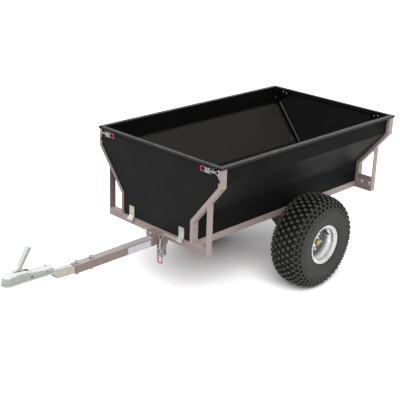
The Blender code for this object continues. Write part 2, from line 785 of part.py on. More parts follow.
def strap_shape():
    """One hinge strap: a flat leaf on the gate that ends in a barrel round the hinge pin."""
    leaf_in = GATE_FRONT + GAP
    leaf_out = leaf_in + STRAP_THICKNESS
    knee = HINGE_X - BARREL_RADIUS
    outline = [(leaf_in, STRAP_TOP), (leaf_out, STRAP_TOP),
               (leaf_out, HINGE_Z + 2.6 * BARREL_RADIUS)]
    for degrees in range(60, -181, -24):
        angle = math.radians(degrees)
        outline.append((HINGE_X + BARREL_RADIUS * math.cos(angle),
                        HINGE_Z + BARREL_RADIUS * math.sin(angle)))
    outline += [(knee, FRAME_TOP + 2 * GAP), (leaf_in, FRAME_TOP + STRAP_THICKNESS)]
    half = STRAP_WIDTH / 2
    return prism(outline, STRAP_Y - half, STRAP_Y + half, 1)


def make_gate(tag, flip, black, rim, zinc, parent):
    """Builds a gate, its rim and its straps. The rear gate is the front one turned round."""
    build(f"{tag}_gate", flip(gate_pan()), black, parent=parent)
    reach = TUB_WIDTH / 2 - SIDE_RIM_WIDTH - GATE_SIDE_CLEARANCE
    front = TUB_LENGTH / 2
    bar = square_tube((front - GATE_RIM_WIDTH, -reach, RIM_TOP - RIM_HEIGHT),
                      (front, reach, RIM_TOP), 1, RIM_WALL)
    build(f"{tag}_gate_rim", flip(bar), rim, parent=parent)
    strap = strap_shape()
    reach = STRAP_Y + STRAP_WIDTH
    bore = rod(HINGE_PIN_RADIUS + RUNNING, -reach, reach, 1, (HINGE_X, 0, HINGE_Z), 16)
    for hand, shape in (("left", strap), ("right", mirrored(strap))):
        item = build(f"{tag}_gate_strap_{hand}", flip(shape), zinc, parent=parent)
        cut(item, flip(bore), f"{tag}_strap_bore_{hand}")


def hinge_pin(boss):
    """A pin through a strap's barrel, with a boss on its inner side and a head at its end."""
    near = STRAP_Y - STRAP_WIDTH / 2 - GAP
    far = STRAP_Y + STRAP_WIDTH / 2 + GAP
    profile = [(0, near - boss), (BARREL_RADIUS, near - boss), (BARREL_RADIUS, near),
               (HINGE_PIN_RADIUS, near), (HINGE_PIN_RADIUS, far), (BARREL_RADIUS, far),
               (BARREL_RADIUS, far + PIN_HEAD), (0, far + PIN_HEAD)]
    return turned(profile, 1, (HINGE_X, 0, HINGE_Z), 16)


def hinge_weld(boss):
    """The weld between a hinge pin's boss and the crossmember."""
    near = STRAP_Y - STRAP_WIDTH / 2 - GAP
    half = BARREL_RADIUS / 2
    return box((FRONT_FACE - WELD, near - boss + WELD, HINGE_Z - half),
               (HINGE_X, near - WELD, HINGE_Z + half))


class Latch:
    """A toggle latch seen from its lever pivot: u runs to the catch, v along the pivot and w
    away from the sheet that it is fixed to."""

    def __init__(self, pivot_point, towards, across, outwards, scale, bar_height):
        self.origin = Vector(pivot_point)
        self.u = Vector(towards)
        self.v = Vector(across)
        self.w = Vector(outwards)
        self.scale = scale
        self.height = LATCH_PIVOT_HEIGHT * scale
        self.bar_w = bar_height - self.height

    def place(self, u, v, w):
        return self.origin + self.u * u + self.v * v + self.w * w

    def put(self, shape):
        return mapped(shape, lambda u, v, w: self.place(u, v, w))

    def plate(self, seat):
        """The plate with its two ears, whose back lies a little above the sheet."""
        s = self.scale
        ear = LATCH_CHEEK_INNER + LATCH_CHEEK_WALL
        us = [-LATCH_PLATE_BACK * s, -LATCH_EAR_HALF_LENGTH * s, LATCH_EAR_HALF_LENGTH * s,
              LATCH_PLATE_FRONT * s]
        near = ear * s + GAP
        far = near + LATCH_CHEEK_WALL * s
        edge = LATCH_PLATE_HALF * s
        vs = [-edge, -far, -near, near, far, edge]
        top = LATCH_PLATE_THICKNESS - self.height
        ws = [seat - self.height, top, LATCH_EAR_TOP * s]
        return self.put(blocks(us, vs, ws, lambda i, j, k: k == 0 or (i == 1 and j in (1, 3))))

    def lever(self):
        s = self.scale
        us = [-LEVER_LENGTH * s, -LEVER_ROOF_START * s, LEVER_NOSE * s]
        near = LATCH_CHEEK_INNER * s
        far = near + LATCH_CHEEK_WALL * s
        vs = [-far, -near, near, far]
        ws = [-LEVER_BOTTOM * s, (LEVER_TOP - LEVER_ROOF) * s, LEVER_TOP * s]
        return self.put(blocks(us, vs, ws, lambda i, j, k: j in (0, 2) or (i == 0 and k == 1)))

    def grip(self):
        """The wire grip, whose legs run along the inside of the lever's cheeks."""
        s = self.scale
        near = LATCH_CHEEK_INNER * s
        thick = GRIP_WIRE * s
        leg = near - 0.8 * thick
        wide = GRIP_HALF * s
        high = (LEVER_TOP - LEVER_ROOF) * s - 1.3 * thick
        end = -GRIP_LENGTH * s
        legs = [(-LEVER_ROOF_START * s, leg, high), (-(LEVER_LENGTH + 0.002) * s, leg, high),
                (-(LEVER_LENGTH + 0.010) * s, wide, high), (end + 0.004 * s, wide, high),
                (end, wide - 0.004 * s, high)]
        path = legs + [(u, -v, w) for u, v, w in reversed(legs)]
        return self.put(wire(path, thick, 6, False, (0, 0, 1)))

    def loop(self):
        s = self.scale
        thick = LOOP_WIRE * s
        back, up = -LOOP_PIVOT_BACK * s, LOOP_PIVOT_UP * s
        head = LATCH_CHEEK_INNER * s - GAP - thick
        neck = LOOP_NECK_HALF * s
        bar = self.bar_w + LOOP_LIFT * s
        half = [(back, head, up), (back + 3.2 * thick, head, up),
                (back + 4.8 * thick, neck, up),
                (LOOP_NECK * s, neck, up + (bar - up) * 0.66),
                ((LOOP_REACH - 0.0025) * s, LOOP_HALF * s, bar),
                (LOOP_REACH * s, (LOOP_HALF - 0.002) * s, bar)]
        path = half + [(u, -v, w) for u, v, w in reversed(half)]
        return self.put(wire(path, thick, 6, True, (0, 0, 1)))

    def loop_pivot(self):
        return self.place(-LOOP_PIVOT_BACK * self.scale, 0, LOOP_PIVOT_UP * self.scale)

    def catch(self, inset, sunk):
        """A peg at the loop's bar and the small plate it stands on. The plate starts inset
        behind the peg and is sunk into the frame's face, and the peg ends a little under
        the bar, which lies in front of it by LOOP_LIFT and the gap."""
        s = self.scale
        peg = (LOOP_REACH - LOOP_WIRE - CATCH_PEG_RADIUS) * s - CATCH_PLAY
        face = FRONT_FACE - GATE_FRONT - self.height
        edge = CATCH_PLATE_HEIGHT / 2
        back = peg - inset
        front = back + CATCH_PLATE_LENGTH
        outline = [(back, -edge), (front, -edge), (front, edge), (back, edge)]
        plate = prism(outline, face - sunk, face + CATCH_PLATE, 2)
        stem = rod(CATCH_PEG_RADIUS * s, face + CATCH_PLATE / 2, self.bar_w - LOOP_WIRE * s - GAP,
                   2, (peg, 0, 0), 8)
        return self.put(plate), self.put(stem)


def corner_latch(side, face):
    """The latch of one gate corner. Side is +1 on the left, face is +1 at the front."""
    where = (face * (GATE_FRONT + LATCH_PIVOT_HEIGHT), side * LATCH_PIVOT_Y, LATCH_Z)
    return Latch(where, (0, side, 0), (0, 0, 1), (face, 0, 0), 1.0, LOOP_BAR_HEIGHT)


def tip_latch():
    scale = TIP_LATCH_SCALE
    where = (GATE_FRONT + LATCH_PIVOT_HEIGHT * scale, TIP_LATCH_Y,
             TIP_LATCH_BAR_Z - LOOP_REACH * scale)
    return Latch(where, (0, 0, 1), (0, 1, 0), (1, 0, 0), scale, TIP_LOOP_BAR_HEIGHT)


def make_latch_movers(tag, latch, zinc, carrier):
    lever_pivot = pivot(f"pivot_{tag}_lever", latch.origin, carrier)
    lever = build(f"{tag}_lever", latch.lever(), zinc, parent=lever_pivot)
    fuse(lever, latch.grip(), f"{tag}_grip")
    loop_pivot = pivot(f"pivot_{tag}_loop", latch.loop_pivot(), lever_pivot)
    build(f"{tag}_loop", latch.loop(), zinc, parent=loop_pivot)


def make_latches(zinc, front_pivot, rear_pivot):
    for face, end, carrier in ((1, "front", front_pivot), (-1, "rear", rear_pivot)):
        for side, hand in ((1, "left"), (-1, "right")):
            latch = corner_latch(side, face)
            build(f"{end}_latch_plate_{hand}", latch.plate(GAP), zinc, parent=carrier)
            make_latch_movers(f"{end}_latch_{hand}", latch, zinc, carrier)


def add_lock_lugs(crossmember):
    """Welds on the lug for the lock pin and the catch for the tip latch."""
    far = LOCK_LUG_Y + LOCK_LUG_THICKNESS
    lug = box((FRONT_FACE - WELD, LOCK_LUG_Y, BEAM_BOTTOM + WELD),
              (FRONT_FACE + LOCK_LUG_REACH, far, LOCK_LEG_TOP))
    plate, peg = tip_latch().catch(CATCH_PLATE_LENGTH / 2, WELD)
    fuse(crossmember, joined([lug, plate]), "lock_lug")
    fuse(crossmember, peg, "tip_peg")
    centre = (LOCK_X, 0, LOCK_Z)
    cut(crossmember, rod(LOCK_PIN_RADIUS + 2 * RUNNING, LOCK_LUG_Y - LOCK_LUG_THICKNESS,
                         far + LOCK_LUG_THICKNESS, 1, centre, 16), "lug_hole")


def tyre_profile():
    """Half of the tyre's section as (radius, offset) points: its skin, then its inside."""
    crown = TYRE_RADIUS - LUG_HEIGHT
    half = TYRE_WIDTH / 2
    seat = RIM_HALF_WIDTH - 0.008
    skin = [(RIM_SEAT_RADIUS - 0.0005, seat - 0.024), (RIM_SEAT_RADIUS + 0.001, seat - 0.0012),
            (RIM_RADIUS + 0.0025, RIM_HALF_WIDTH - 0.0035),
            (TYRE_SHOULDER_RADIUS - 0.030, half)]
    full = math.sin(TREAD_ANGLES[-1]) ** TREAD_POWER
    for angle in TREAD_ANGLES:
        rise = math.sin(angle) ** TREAD_POWER / full
        skin.append((TYRE_SHOULDER_RADIUS + (crown - TYRE_SHOULDER_RADIUS) * rise,
                     half * math.cos(angle) ** TREAD_POWER))
    inside = [(RIM_SEAT_RADIUS + TYRE_WALL, seat - 0.020),
              (TYRE_SHOULDER_RADIUS, half - TYRE_WALL),
              (crown - TYRE_WALL, skin[-1][1] - 0.002)]
    return skin, inside


def make_tyre(name, side, rubber, parent):
    """A hollow tyre, open at the rim, with raised blocks on every other square of its tread."""
    skin, inside = tyre_profile()
    profile = skin + [(radius, -offset) for radius, offset in reversed(skin)]
    profile += [(radius, -offset) for radius, offset in inside]
    profile += [(radius, offset) for radius, offset in reversed(inside)]
    profile = [(radius, side * offset) for radius, offset in profile]
    points, faces = turned(profile, 1, (0, 0, 0), TREAD_COLUMNS, -math.pi / 2)
    work = bmesh.new()
    verts = [work.verts.new(point) for point in points]
    tread = [work.faces.new([verts[index] for index in face]) for face in faces]
    bmesh.ops.recalc_face_normals(work, faces=work.faces)
    first_row = len(skin) - len(TREAD_ANGLES)
    raised = []
    for row in range(2 * len(TREAD_ANGLES) - 1):
        for column in range(row % 2, TREAD_COLUMNS, 2):
            raised.append(tread[(first_row + row) * TREAD_COLUMNS + column])
    bmesh.ops.inset_individual(work, faces=raised, thickness=LUG_BEVEL, depth=LUG_HEIGHT,
                               use_even_offset=True)
    for vert in work.verts:
        radius = math.hypot(vert.co.x, vert.co.z)
        if radius > TYRE_RADIUS - 0.25 * LUG_HEIGHT:
            vert.co.x *= TYRE_RADIUS / radius
            vert.co.z *= TYRE_RADIUS / radius
    work.verts.index_update()
    centre = world_place(parent)
    points = [vert.co + centre for vert in work.verts]
    faces = [[vert.index for vert in face.verts] for face in work.faces]
    work.free()
    build(name, (points, faces), rubber, parent=parent, smooth=35)


def make_wheel(tag, side, rubber, steel, brass, parent):
    at = world_place(parent)
    make_tyre(f"tyre_{tag}", side, rubber, parent)
    back, front = DISC_OFFSET - DISC_THICKNESS / 2, DISC_OFFSET + DISC_THICKNESS / 2
    profile = [(radius, side * offset) for radius, offset in rim_profile(back, front)]
    wheel = build(f"wheel_rim_{tag}", turned(profile, 1, at, RIM_STEPS), steel, parent=parent,
                  smooth=35)
    shelf = back - GAP
    profile = [(0, HUB_CAP_END), (HUB_CAP_RADIUS - 0.002, HUB_CAP_END),
               (HUB_CAP_RADIUS, HUB_CAP_END - 0.003), (HUB_CAP_RADIUS, front + HUB_NECK),
               (DISC_BORE - RUNNING, front + HUB_NECK), (DISC_BORE - RUNNING, shelf),
               (HUB_FLANGE_RADIUS, shelf), (HUB_FLANGE_RADIUS, shelf - HUB_FLANGE_THICKNESS),
               (HUB_BARREL_RADIUS, shelf - HUB_FLANGE_THICKNESS),
               (HUB_BARREL_RADIUS, -HUB_BARREL_BACK),
               (SPINDLE_RADIUS + RUNNING, -HUB_BARREL_BACK),
               (SPINDLE_RADIUS + RUNNING, front), (0, front)]
    profile = [(radius, side * offset) for radius, offset in profile]
    hub = build(f"hub_{tag}", turned(profile, 1, at, 20), brass, parent=parent)
    studs, holes = [], []
    for step in range(STUD_COUNT):
        angle = 2 * math.pi * (step + 0.5) / STUD_COUNT
        centre = (at.x + STUD_CIRCLE * math.cos(angle), at.y,
                  at.z + STUD_CIRCLE * math.sin(angle))
        stud = [(0, shelf - WELD), (STUD_RADIUS, shelf - WELD), (STUD_RADIUS, front + GAP),
                (NUT_RADIUS, front + GAP), (NUT_RADIUS, front + NUT_HEIGHT),
                (0, front + NUT_HEIGHT)]
        studs.append(turned([(radius, side * y) for radius, y in stud], 1, centre, 6))
        holes.append(rod(STUD_RADIUS + RUNNING, side * (back - DISC_THICKNESS),
                         side * (front + DISC_THICKNESS), 1, centre, 12))
    fuse(hub, joined(studs), f"studs_{tag}")
    cut(wheel, joined(holes), f"stud_holes_{tag}")


def rim_profile(back, front):
    """The rim's section as (radius, offset) points, with its disc between two offsets."""
    edge, well = RIM_HALF_WIDTH, RIM_WELL_HALF
    ramp = well + 0.014
    seat, inner_seat = RIM_SEAT_RADIUS, RIM_SEAT_RADIUS - RIM_SHEET
    inner_well = RIM_WELL_RADIUS - RIM_SHEET
    slope = 0.0025
    outer = [(RIM_RADIUS, edge), (RIM_RADIUS, edge - 0.004), (seat, edge - 0.008),
             (seat - slope, ramp), (RIM_WELL_RADIUS, well)]
    inner = [(inner_well, well + 0.002), (inner_seat - slope, ramp + 0.002),
             (inner_seat, edge - 0.0045)]
    disc = [(inner_well, back), (DISC_BORE, back), (DISC_BORE, front), (inner_well, front)]
    profile = outer + [(radius, -offset) for radius, offset in reversed(outer)]
    profile += [(radius, -offset) for radius, offset in reversed(inner)]
    return profile + disc + inner


def axle_bore(reach, play, height):
    """A cutter with its corners on the lines of the axle tube's corners."""
    return rod(AXLE_RADIUS + play, -reach, reach, 1, (AXLE_X, 0, height), AXLE_SIDES,
               math.pi / AXLE_SIDES)


def make_axle(paint):
    """The axle tube, cranked up under the drawbar, and the saddle that holds it there."""
    shoulder = WHEEL_Y - HUB_BARREL_BACK - GAP
    tip = WHEEL_Y + DISC_OFFSET + DISC_THICKNESS / 2 - GAP
    half = [(AXLE_BEND_INNER, AXLE_MIDDLE_Z), (AXLE_BEND_OUTER, AXLE_Z), (shoulder, AXLE_Z)]
    path = [(AXLE_X, -y, z) for y, z in reversed(half)] + [(AXLE_X, y, z) for y, z in half]
    axle = build("axle", wire(path, AXLE_RADIUS, AXLE_SIDES, False, (1, 0, 0)), paint, smooth=35)
    for tag, side in (("left", 1), ("right", -1)):
        low, high = sorted((side * (shoulder - WELD), side * tip))
        spindle = rod(SPINDLE_RADIUS, low, high, 1, (AXLE_X, 0, AXLE_Z), AXLE_SIDES)
        fuse(axle, spindle, f"spindle_{tag}")
    top = DRAWBAR_TOP + GAP + SADDLE_THICKNESS
    foot = AXLE_MIDDLE_Z - SADDLE_DROP
    outline = [(-SADDLE_TOP_HALF, top), (-SADDLE_FOOT_HALF, foot), (SADDLE_FOOT_HALF, foot),
               (SADDLE_TOP_HALF, top)]
    outline = [(AXLE_X + x, z) for x, z in outline]
    inner = DRAWBAR / 2 + GAP
    outer = inner + SADDLE_THICKNESS
    item = build("axle_saddle", prism(outline, -outer, outer, 1), paint)
    wide = AXLE_X + 2 * SADDLE_TOP_HALF
    slot = box((AXLE_X - 2 * SADDLE_TOP_HALF, -inner, foot - SADDLE_THICKNESS),
               (wide, inner, DRAWBAR_TOP + GAP))
    cut(item, slot, "saddle_slot")
    reach = outer + SADDLE_THICKNESS
    cut(item, axle_bore(reach, GAP, AXLE_MIDDLE_Z), "saddle_bore")


def make_drawbar(paint):
    half = DRAWBAR / 2
    bar = square_tube((DRAWBAR_REAR_X, -half, DRAWBAR_BOTTOM), (DRAWBAR_FRONT_X, half, DRAWBAR_TOP),
                      0, DRAWBAR_WALL)
    item = build("drawbar", bar, paint)
    cut(item, bar_bolt_holes(), "drawbar_bolt_holes")


def bar_bolt_holes():
    holes = []
    for x in BAR_BOLT_X:
        holes.append(rod(BAR_BOLT_SHANK + RUNNING, DRAWBAR_BOTTOM - DRAWBAR_WALL,
                         DRAWBAR_TOP + DRAWBAR_WALL, 2, (x, 0, 0), 12))
    return joined(holes)


def make_bolts(zinc):
    """The two bolts that hold the extension, and the one on the coupling."""
    for tag, x in zip(("front", "rear"), BAR_BOLT_X):
        low, high = DRAWBAR_BOTTOM - GAP, DRAWBAR_TOP + GAP
        profile = [(0, low - BAR_BOLT_HEIGHT), (BAR_BOLT_RADIUS, low - BAR_BOLT_HEIGHT),
                   (BAR_BOLT_RADIUS, low), (BAR_BOLT_SHANK, low), (BAR_BOLT_SHANK, high),
                   (BAR_BOLT_RADIUS, high), (BAR_BOLT_RADIUS, high + BAR_BOLT_HEIGHT),
                   (0, high + BAR_BOLT_HEIGHT)]
        item = build(f"drawbar_bolt_{tag}", turned(profile, 2, (x, 0, 0), 6), zinc)
        washer = rod(WASHER_RADIUS, high, high + WASHER_THICKNESS, 2, (x, 0, 0), 12)
        fuse(item, washer, f"washer_{tag}")
    high = coupling_top(TOP_BOLT_X + TOP_BOLT_RADIUS) + GAP
    low = coupling_top(TOP_BOLT_X - TOP_BOLT_RADIUS) - COUPLING_WALL - GAP
    profile = [(0, low - TOP_BOLT_HEIGHT), (TOP_BOLT_RADIUS, low - TOP_BOLT_HEIGHT),
               (TOP_BOLT_RADIUS, low), (TOP_BOLT_SHANK, low), (TOP_BOLT_SHANK, high),
               (TOP_BOLT_RADIUS, high), (TOP_BOLT_RADIUS, high + TOP_BOLT_HEIGHT),
               (0, high + TOP_BOLT_HEIGHT)]
    build("coupling_bolt", turned(profile, 2, (TOP_BOLT_X, 0, 0), 6), zinc)


def make_extension(zinc):
    """The open channel between the drawbar and the coupling."""
    room = DRAWBAR_WALL + EXT_PLAY
    low, high = DRAWBAR_BOTTOM + room, DRAWBAR_TOP - room
    start = DRAWBAR_FRONT_X - EXT_INSERT
    leave = DRAWBAR_FRONT_X + GAP
    shoulder = COUPLING_HALF - COUPLING_WALL - COUPLING_CROWN
    room_y = EXT_WIDTH / 2 - COUPLING_CROWN
    roof = coupling_top(COUPLING_TAIL_X) - COUPLING_WALL - shoulder
    roof += math.sqrt(shoulder ** 2 - room_y ** 2) - 4 * GAP
    outline = [(start, low), (leave, low), (EXT_BOTTOM_FRONT_X, EXT_BOTTOM_FRONT_Z),
               (EXT_TOP_FRONT_X, EXT_TOP_FRONT_Z - EXT_KNEE_DROP),
               (EXT_TOP_FRONT_X + EXT_KNEE_AHEAD, EXT_TOP_FRONT_Z + EXT_KNEE_RISE),
               (EXT_NOSE_X, EXT_TOP_FRONT_Z + EXT_NOSE_RISE), (EXT_NOSE_X, roof),
               (COUPLING_TAIL_X + EXT_STEP_HALF, roof),
               (COUPLING_TAIL_X - EXT_STEP_HALF, EXT_TOP_FRONT_Z),
               (leave, high), (start, high)]
    half = EXT_WIDTH / 2
    item = build("extension_channel", prism(outline, -half, half, 1), zinc)
    inside = half - EXT_WALL
    above = roof + EXT_WIDTH
    trough = [(start - EXT_WALL, low + EXT_WALL), (leave, low + EXT_WALL),
              (EXT_BOTTOM_FRONT_X, EXT_BOTTOM_FRONT_Z + EXT_WALL),
              (EXT_BRIDGE_X, EXT_TOP_FRONT_Z - EXT_TROUGH_DROP), (EXT_BRIDGE_X, above),
              (start - EXT_WALL, above)]
    cut(item, prism(trough, -inside, inside, 1), "channel_trough")
    cut(item, bar_bolt_holes(), "channel_bolt_holes")


def coupling_size(x, column):
    """One size of the coupling's body, at a place along it."""
    for first, last in zip(COUPLING_STATIONS, COUPLING_STATIONS[1:]):
        if first[0] <= x <= last[0]:
            share = (x - first[0]) / (last[0] - first[0])
            return first[column] + (last[column] - first[column]) * share
    return COUPLING_STATIONS[-1][column]


def coupling_half(x):
    return coupling_size(x, 1)


def coupling_top(x):
    return coupling_size(x, 3)


def coupling_bottom(x):
    first, last = COUPLING_STATIONS[0], COUPLING_STATIONS[-1]
    return first[2] + (last[2] - first[2]) * (x - first[0]) / (last[0] - first[0])


def arch(half, low, high, shoulder):
    """Half of an inverted U with rounded shoulders, from the left foot to the right foot."""
    points = [(half, low)]
    for degrees in (0, 30, 60, 90):
        angle = math.radians(degrees)
        points.append((half - shoulder + shoulder * math.cos(angle),
                       high - shoulder + shoulder * math.sin(angle)))
    return points + [(-y, z) for y, z in reversed(points)]


def arch_loft(shrink, drop):
    """The coupling's long body, or the hollow in it when it is shrunk by the wall."""
    points, faces = [], []
    for x, half, low, high in COUPLING_STATIONS:
        ring = arch(half - shrink, low - drop, high - shrink, half - shrink - COUPLING_CROWN)
        for y, z in ring:
            points.append(Vector((x, y, z)))
    count = len(ring)
    stops = len(COUPLING_STATIONS)
    for stop in range(stops - 1):
        for index in range(count):
            after = (index + 1) % count
            low, high = stop * count, (stop + 1) * count
            faces.append([low + index, low + after, high + after, high + index])
    faces.append(list(range(count)))
    faces.append([(stops - 1) * count + index for index in range(count)])
    return points, faces


def dome(radius, low, top, steps):
    """A round head with a domed top, on a vertical axis through the ball."""
    profile = [(0, low), (radius, low), (radius, top - 0.62 * radius)]
    for degrees in (22, 45, 68):
        angle = math.radians(degrees)
        profile.append((radius * math.cos(angle),
                        top - 0.62 * radius + 0.62 * radius * math.sin(angle)))
    profile.append((0, top))
    return turned(profile, 2, (HEAD_X, 0, 0), steps)


def flange_shape():
    """The turned-out foot of the coupling, following its outline round the head."""
    edge = COUPLING_FLANGE
    outline = [(x, -half - edge) for x, half, _, _ in COUPLING_STATIONS[:-1]]
    for degrees in range(-105, 106, 15):
        angle = math.radians(degrees)
        outline.append((HEAD_X + (HEAD_RADIUS + edge) * math.cos(angle),
                        (HEAD_RADIUS + edge) * math.sin(angle)))
    outline += [(x, half + edge) for x, half, _, _ in reversed(COUPLING_STATIONS[:-1])]
    points, faces = prism(outline, 0, COUPLING_FLANGE_THICKNESS, 2)
    points = [Vector((x, y, z + coupling_bottom(min(x, HEAD_X)))) for x, y, z in points]
    return points, faces


def make_coupling(zinc):
    item = build("coupling_body", arch_loft(0, 0), zinc, smooth=40)
    fuse(item, dome(HEAD_RADIUS, HEAD_BOTTOM + 0.0004, HEAD_TOP, 24), "coupling_head")
    fuse(item, flange_shape(), "coupling_flange")
    cut(item, arch_loft(COUPLING_WALL, 0.02), "coupling_hollow")
    hollow = [(0, HEAD_BOTTOM - 0.02), (SOCKET_RADIUS, HEAD_BOTTOM - 0.02), (SOCKET_RADIUS, SOCKET_Z)]
    for degrees in (22, 45, 68):
        angle = math.radians(degrees)
        hollow.append((SOCKET_RADIUS * math.cos(angle), SOCKET_Z + SOCKET_RADIUS * math.sin(angle)))
    hollow.append((0, SOCKET_Z + SOCKET_RADIUS))
    cut(item, turned(hollow, 2, (HEAD_X, 0, 0), 24), "ball_socket")
    bores = [(COUPLING_TAIL_X + x, DRAWBAR_TOP + z, radius, 12) for x, z, radius in SIDE_HOLES]
    bores += [(HANDLE_PIVOT_X, HANDLE_PIVOT_Z, HANDLE_PIN_RADIUS + RUNNING, 16),
              (JAW_PIVOT_X, JAW_PIVOT_Z, JAW_PIN_RADIUS + RUNNING, 16)]
    reach = HEAD_RADIUS + COUPLING_FLANGE
    bores = [rod(radius, -reach, reach, 1, (x, 0, z), steps) for x, z, radius, steps in bores]
    cut(item, joined(bores), "coupling_bores")
    bolt = rod(TOP_BOLT_SHANK + RUNNING, HEAD_BOTTOM, HEAD_TOP, 2, (TOP_BOLT_X, 0, 0), 12)
    cut(item, bolt, "coupling_bolt_hole")
    half = HANDLE_HALF + SLOT_PLAY
    slot = box((SLOT_REAR_X, -half, HANDLE_PIVOT_Z), (SLOT_FRONT_X, half, HEAD_TOP + BEAM))
    cut(item, slot, "handle_slot")


def handle_point(along, away):
    """A point of the raised handle in (x, z): along it from its foot, and off its middle."""
    return (HANDLE_BASE_X + along * math.cos(HANDLE_LEAN) + away * math.sin(HANDLE_LEAN),
            HANDLE_BASE_Z + along * math.sin(HANDLE_LEAN) - away * math.cos(HANDLE_LEAN))


def make_handle(zinc, parent):
    """The locking handle, a bent channel that turns on a rivet through the coupling."""
    deep, end = HANDLE_DEPTH / 2, HANDLE_LENGTH
    foot_z = max(station[3] for station in COUPLING_STATIONS) + 2 * GAP
    front = HANDLE_PIVOT_X + HANDLE_BOSS
    outline = []
    for degrees in (180, 216, 252, 288, 324, 360):
        angle = math.radians(degrees)
        outline.append((HANDLE_PIVOT_X + HANDLE_BOSS * math.cos(angle),
                        HANDLE_PIVOT_Z + HANDLE_BOSS * math.sin(angle)))
    outline += [((front + SLOT_FRONT_X) / 2, foot_z), (HANDLE_BASE_X + HANDLE_FOOT_FRONT, foot_z),
                (HANDLE_BASE_X + HANDLE_FOOT_FRONT, foot_z + 0.003)]
    outline += [handle_point(0.014, deep), handle_point(end - 0.004, deep),
                handle_point(end, deep - 0.004), handle_point(end, -deep / 3),
                handle_point(end - 0.008, -deep), handle_point(0.012, -deep),
                (HANDLE_BASE_X - HANDLE_FOOT_REAR, foot_z)]
    item = build("coupling_handle", prism(outline, -HANDLE_HALF, HANDLE_HALF, 1), zinc,
                 parent=parent)
    floor = deep - HANDLE_WALL
    low = HANDLE_PIVOT_Z - 2 * HANDLE_BOSS
    hollow = [(HANDLE_BASE_X - 2 * HANDLE_FOOT_REAR, low), (HANDLE_BASE_X, low),
              (HANDLE_BASE_X, HANDLE_BASE_Z), handle_point(0.016, floor),
              handle_point(end - 0.010, floor), handle_point(end - 0.010, -2 * HANDLE_DEPTH)]
    inside = HANDLE_HALF - HANDLE_WALL
    cut(item, prism(hollow, -inside, inside, 1), "handle_hollow")
    wall = coupling_half(HANDLE_PIVOT_X + HANDLE_BOSS) + GAP
    profile = [(0, -wall - HANDLE_PIN_HEAD), (HANDLE_BOSS, -wall - HANDLE_PIN_HEAD),
               (HANDLE_BOSS, -wall), (HANDLE_PIN_RADIUS, -wall), (HANDLE_PIN_RADIUS, wall),
               (HANDLE_BOSS, wall), (HANDLE_BOSS, wall + HANDLE_PIN_HEAD),
               (0, wall + HANDLE_PIN_HEAD)]
    centre = (HANDLE_PIVOT_X, 0, HANDLE_PIVOT_Z)
    fuse(item, turned(profile, 1, centre, 12), "handle_rivet")


def make_jaw(zinc, parent):
    """The shoe that presses the ball into the socket, hung on a pin behind it."""
    low = HEAD_BOTTOM + GAP * 10
    back = JAW_PIVOT_X - JAW_THICKNESS
    top = JAW_PIVOT_Z + 2 * JAW_PIN_RADIUS
    outline = [(back, low), (JAW_PIVOT_X + JAW_PIN_RADIUS, low),
               (JAW_PIVOT_X, (low + JAW_PIVOT_Z) / 2),
               (JAW_PIVOT_X + 1.5 * JAW_PIN_RADIUS, JAW_PIVOT_Z),
               (JAW_PIVOT_X + JAW_PIN_RADIUS, top), (back, top)]
    item = build("coupling_jaw", prism(outline, -JAW_HALF, JAW_HALF, 1), zinc, parent=parent)
    reach = coupling_half(JAW_PIVOT_X)
    fuse(item, rod(JAW_PIN_RADIUS, -reach, reach, 1, (JAW_PIVOT_X, 0, JAW_PIVOT_Z), 12), "jaw_pin")


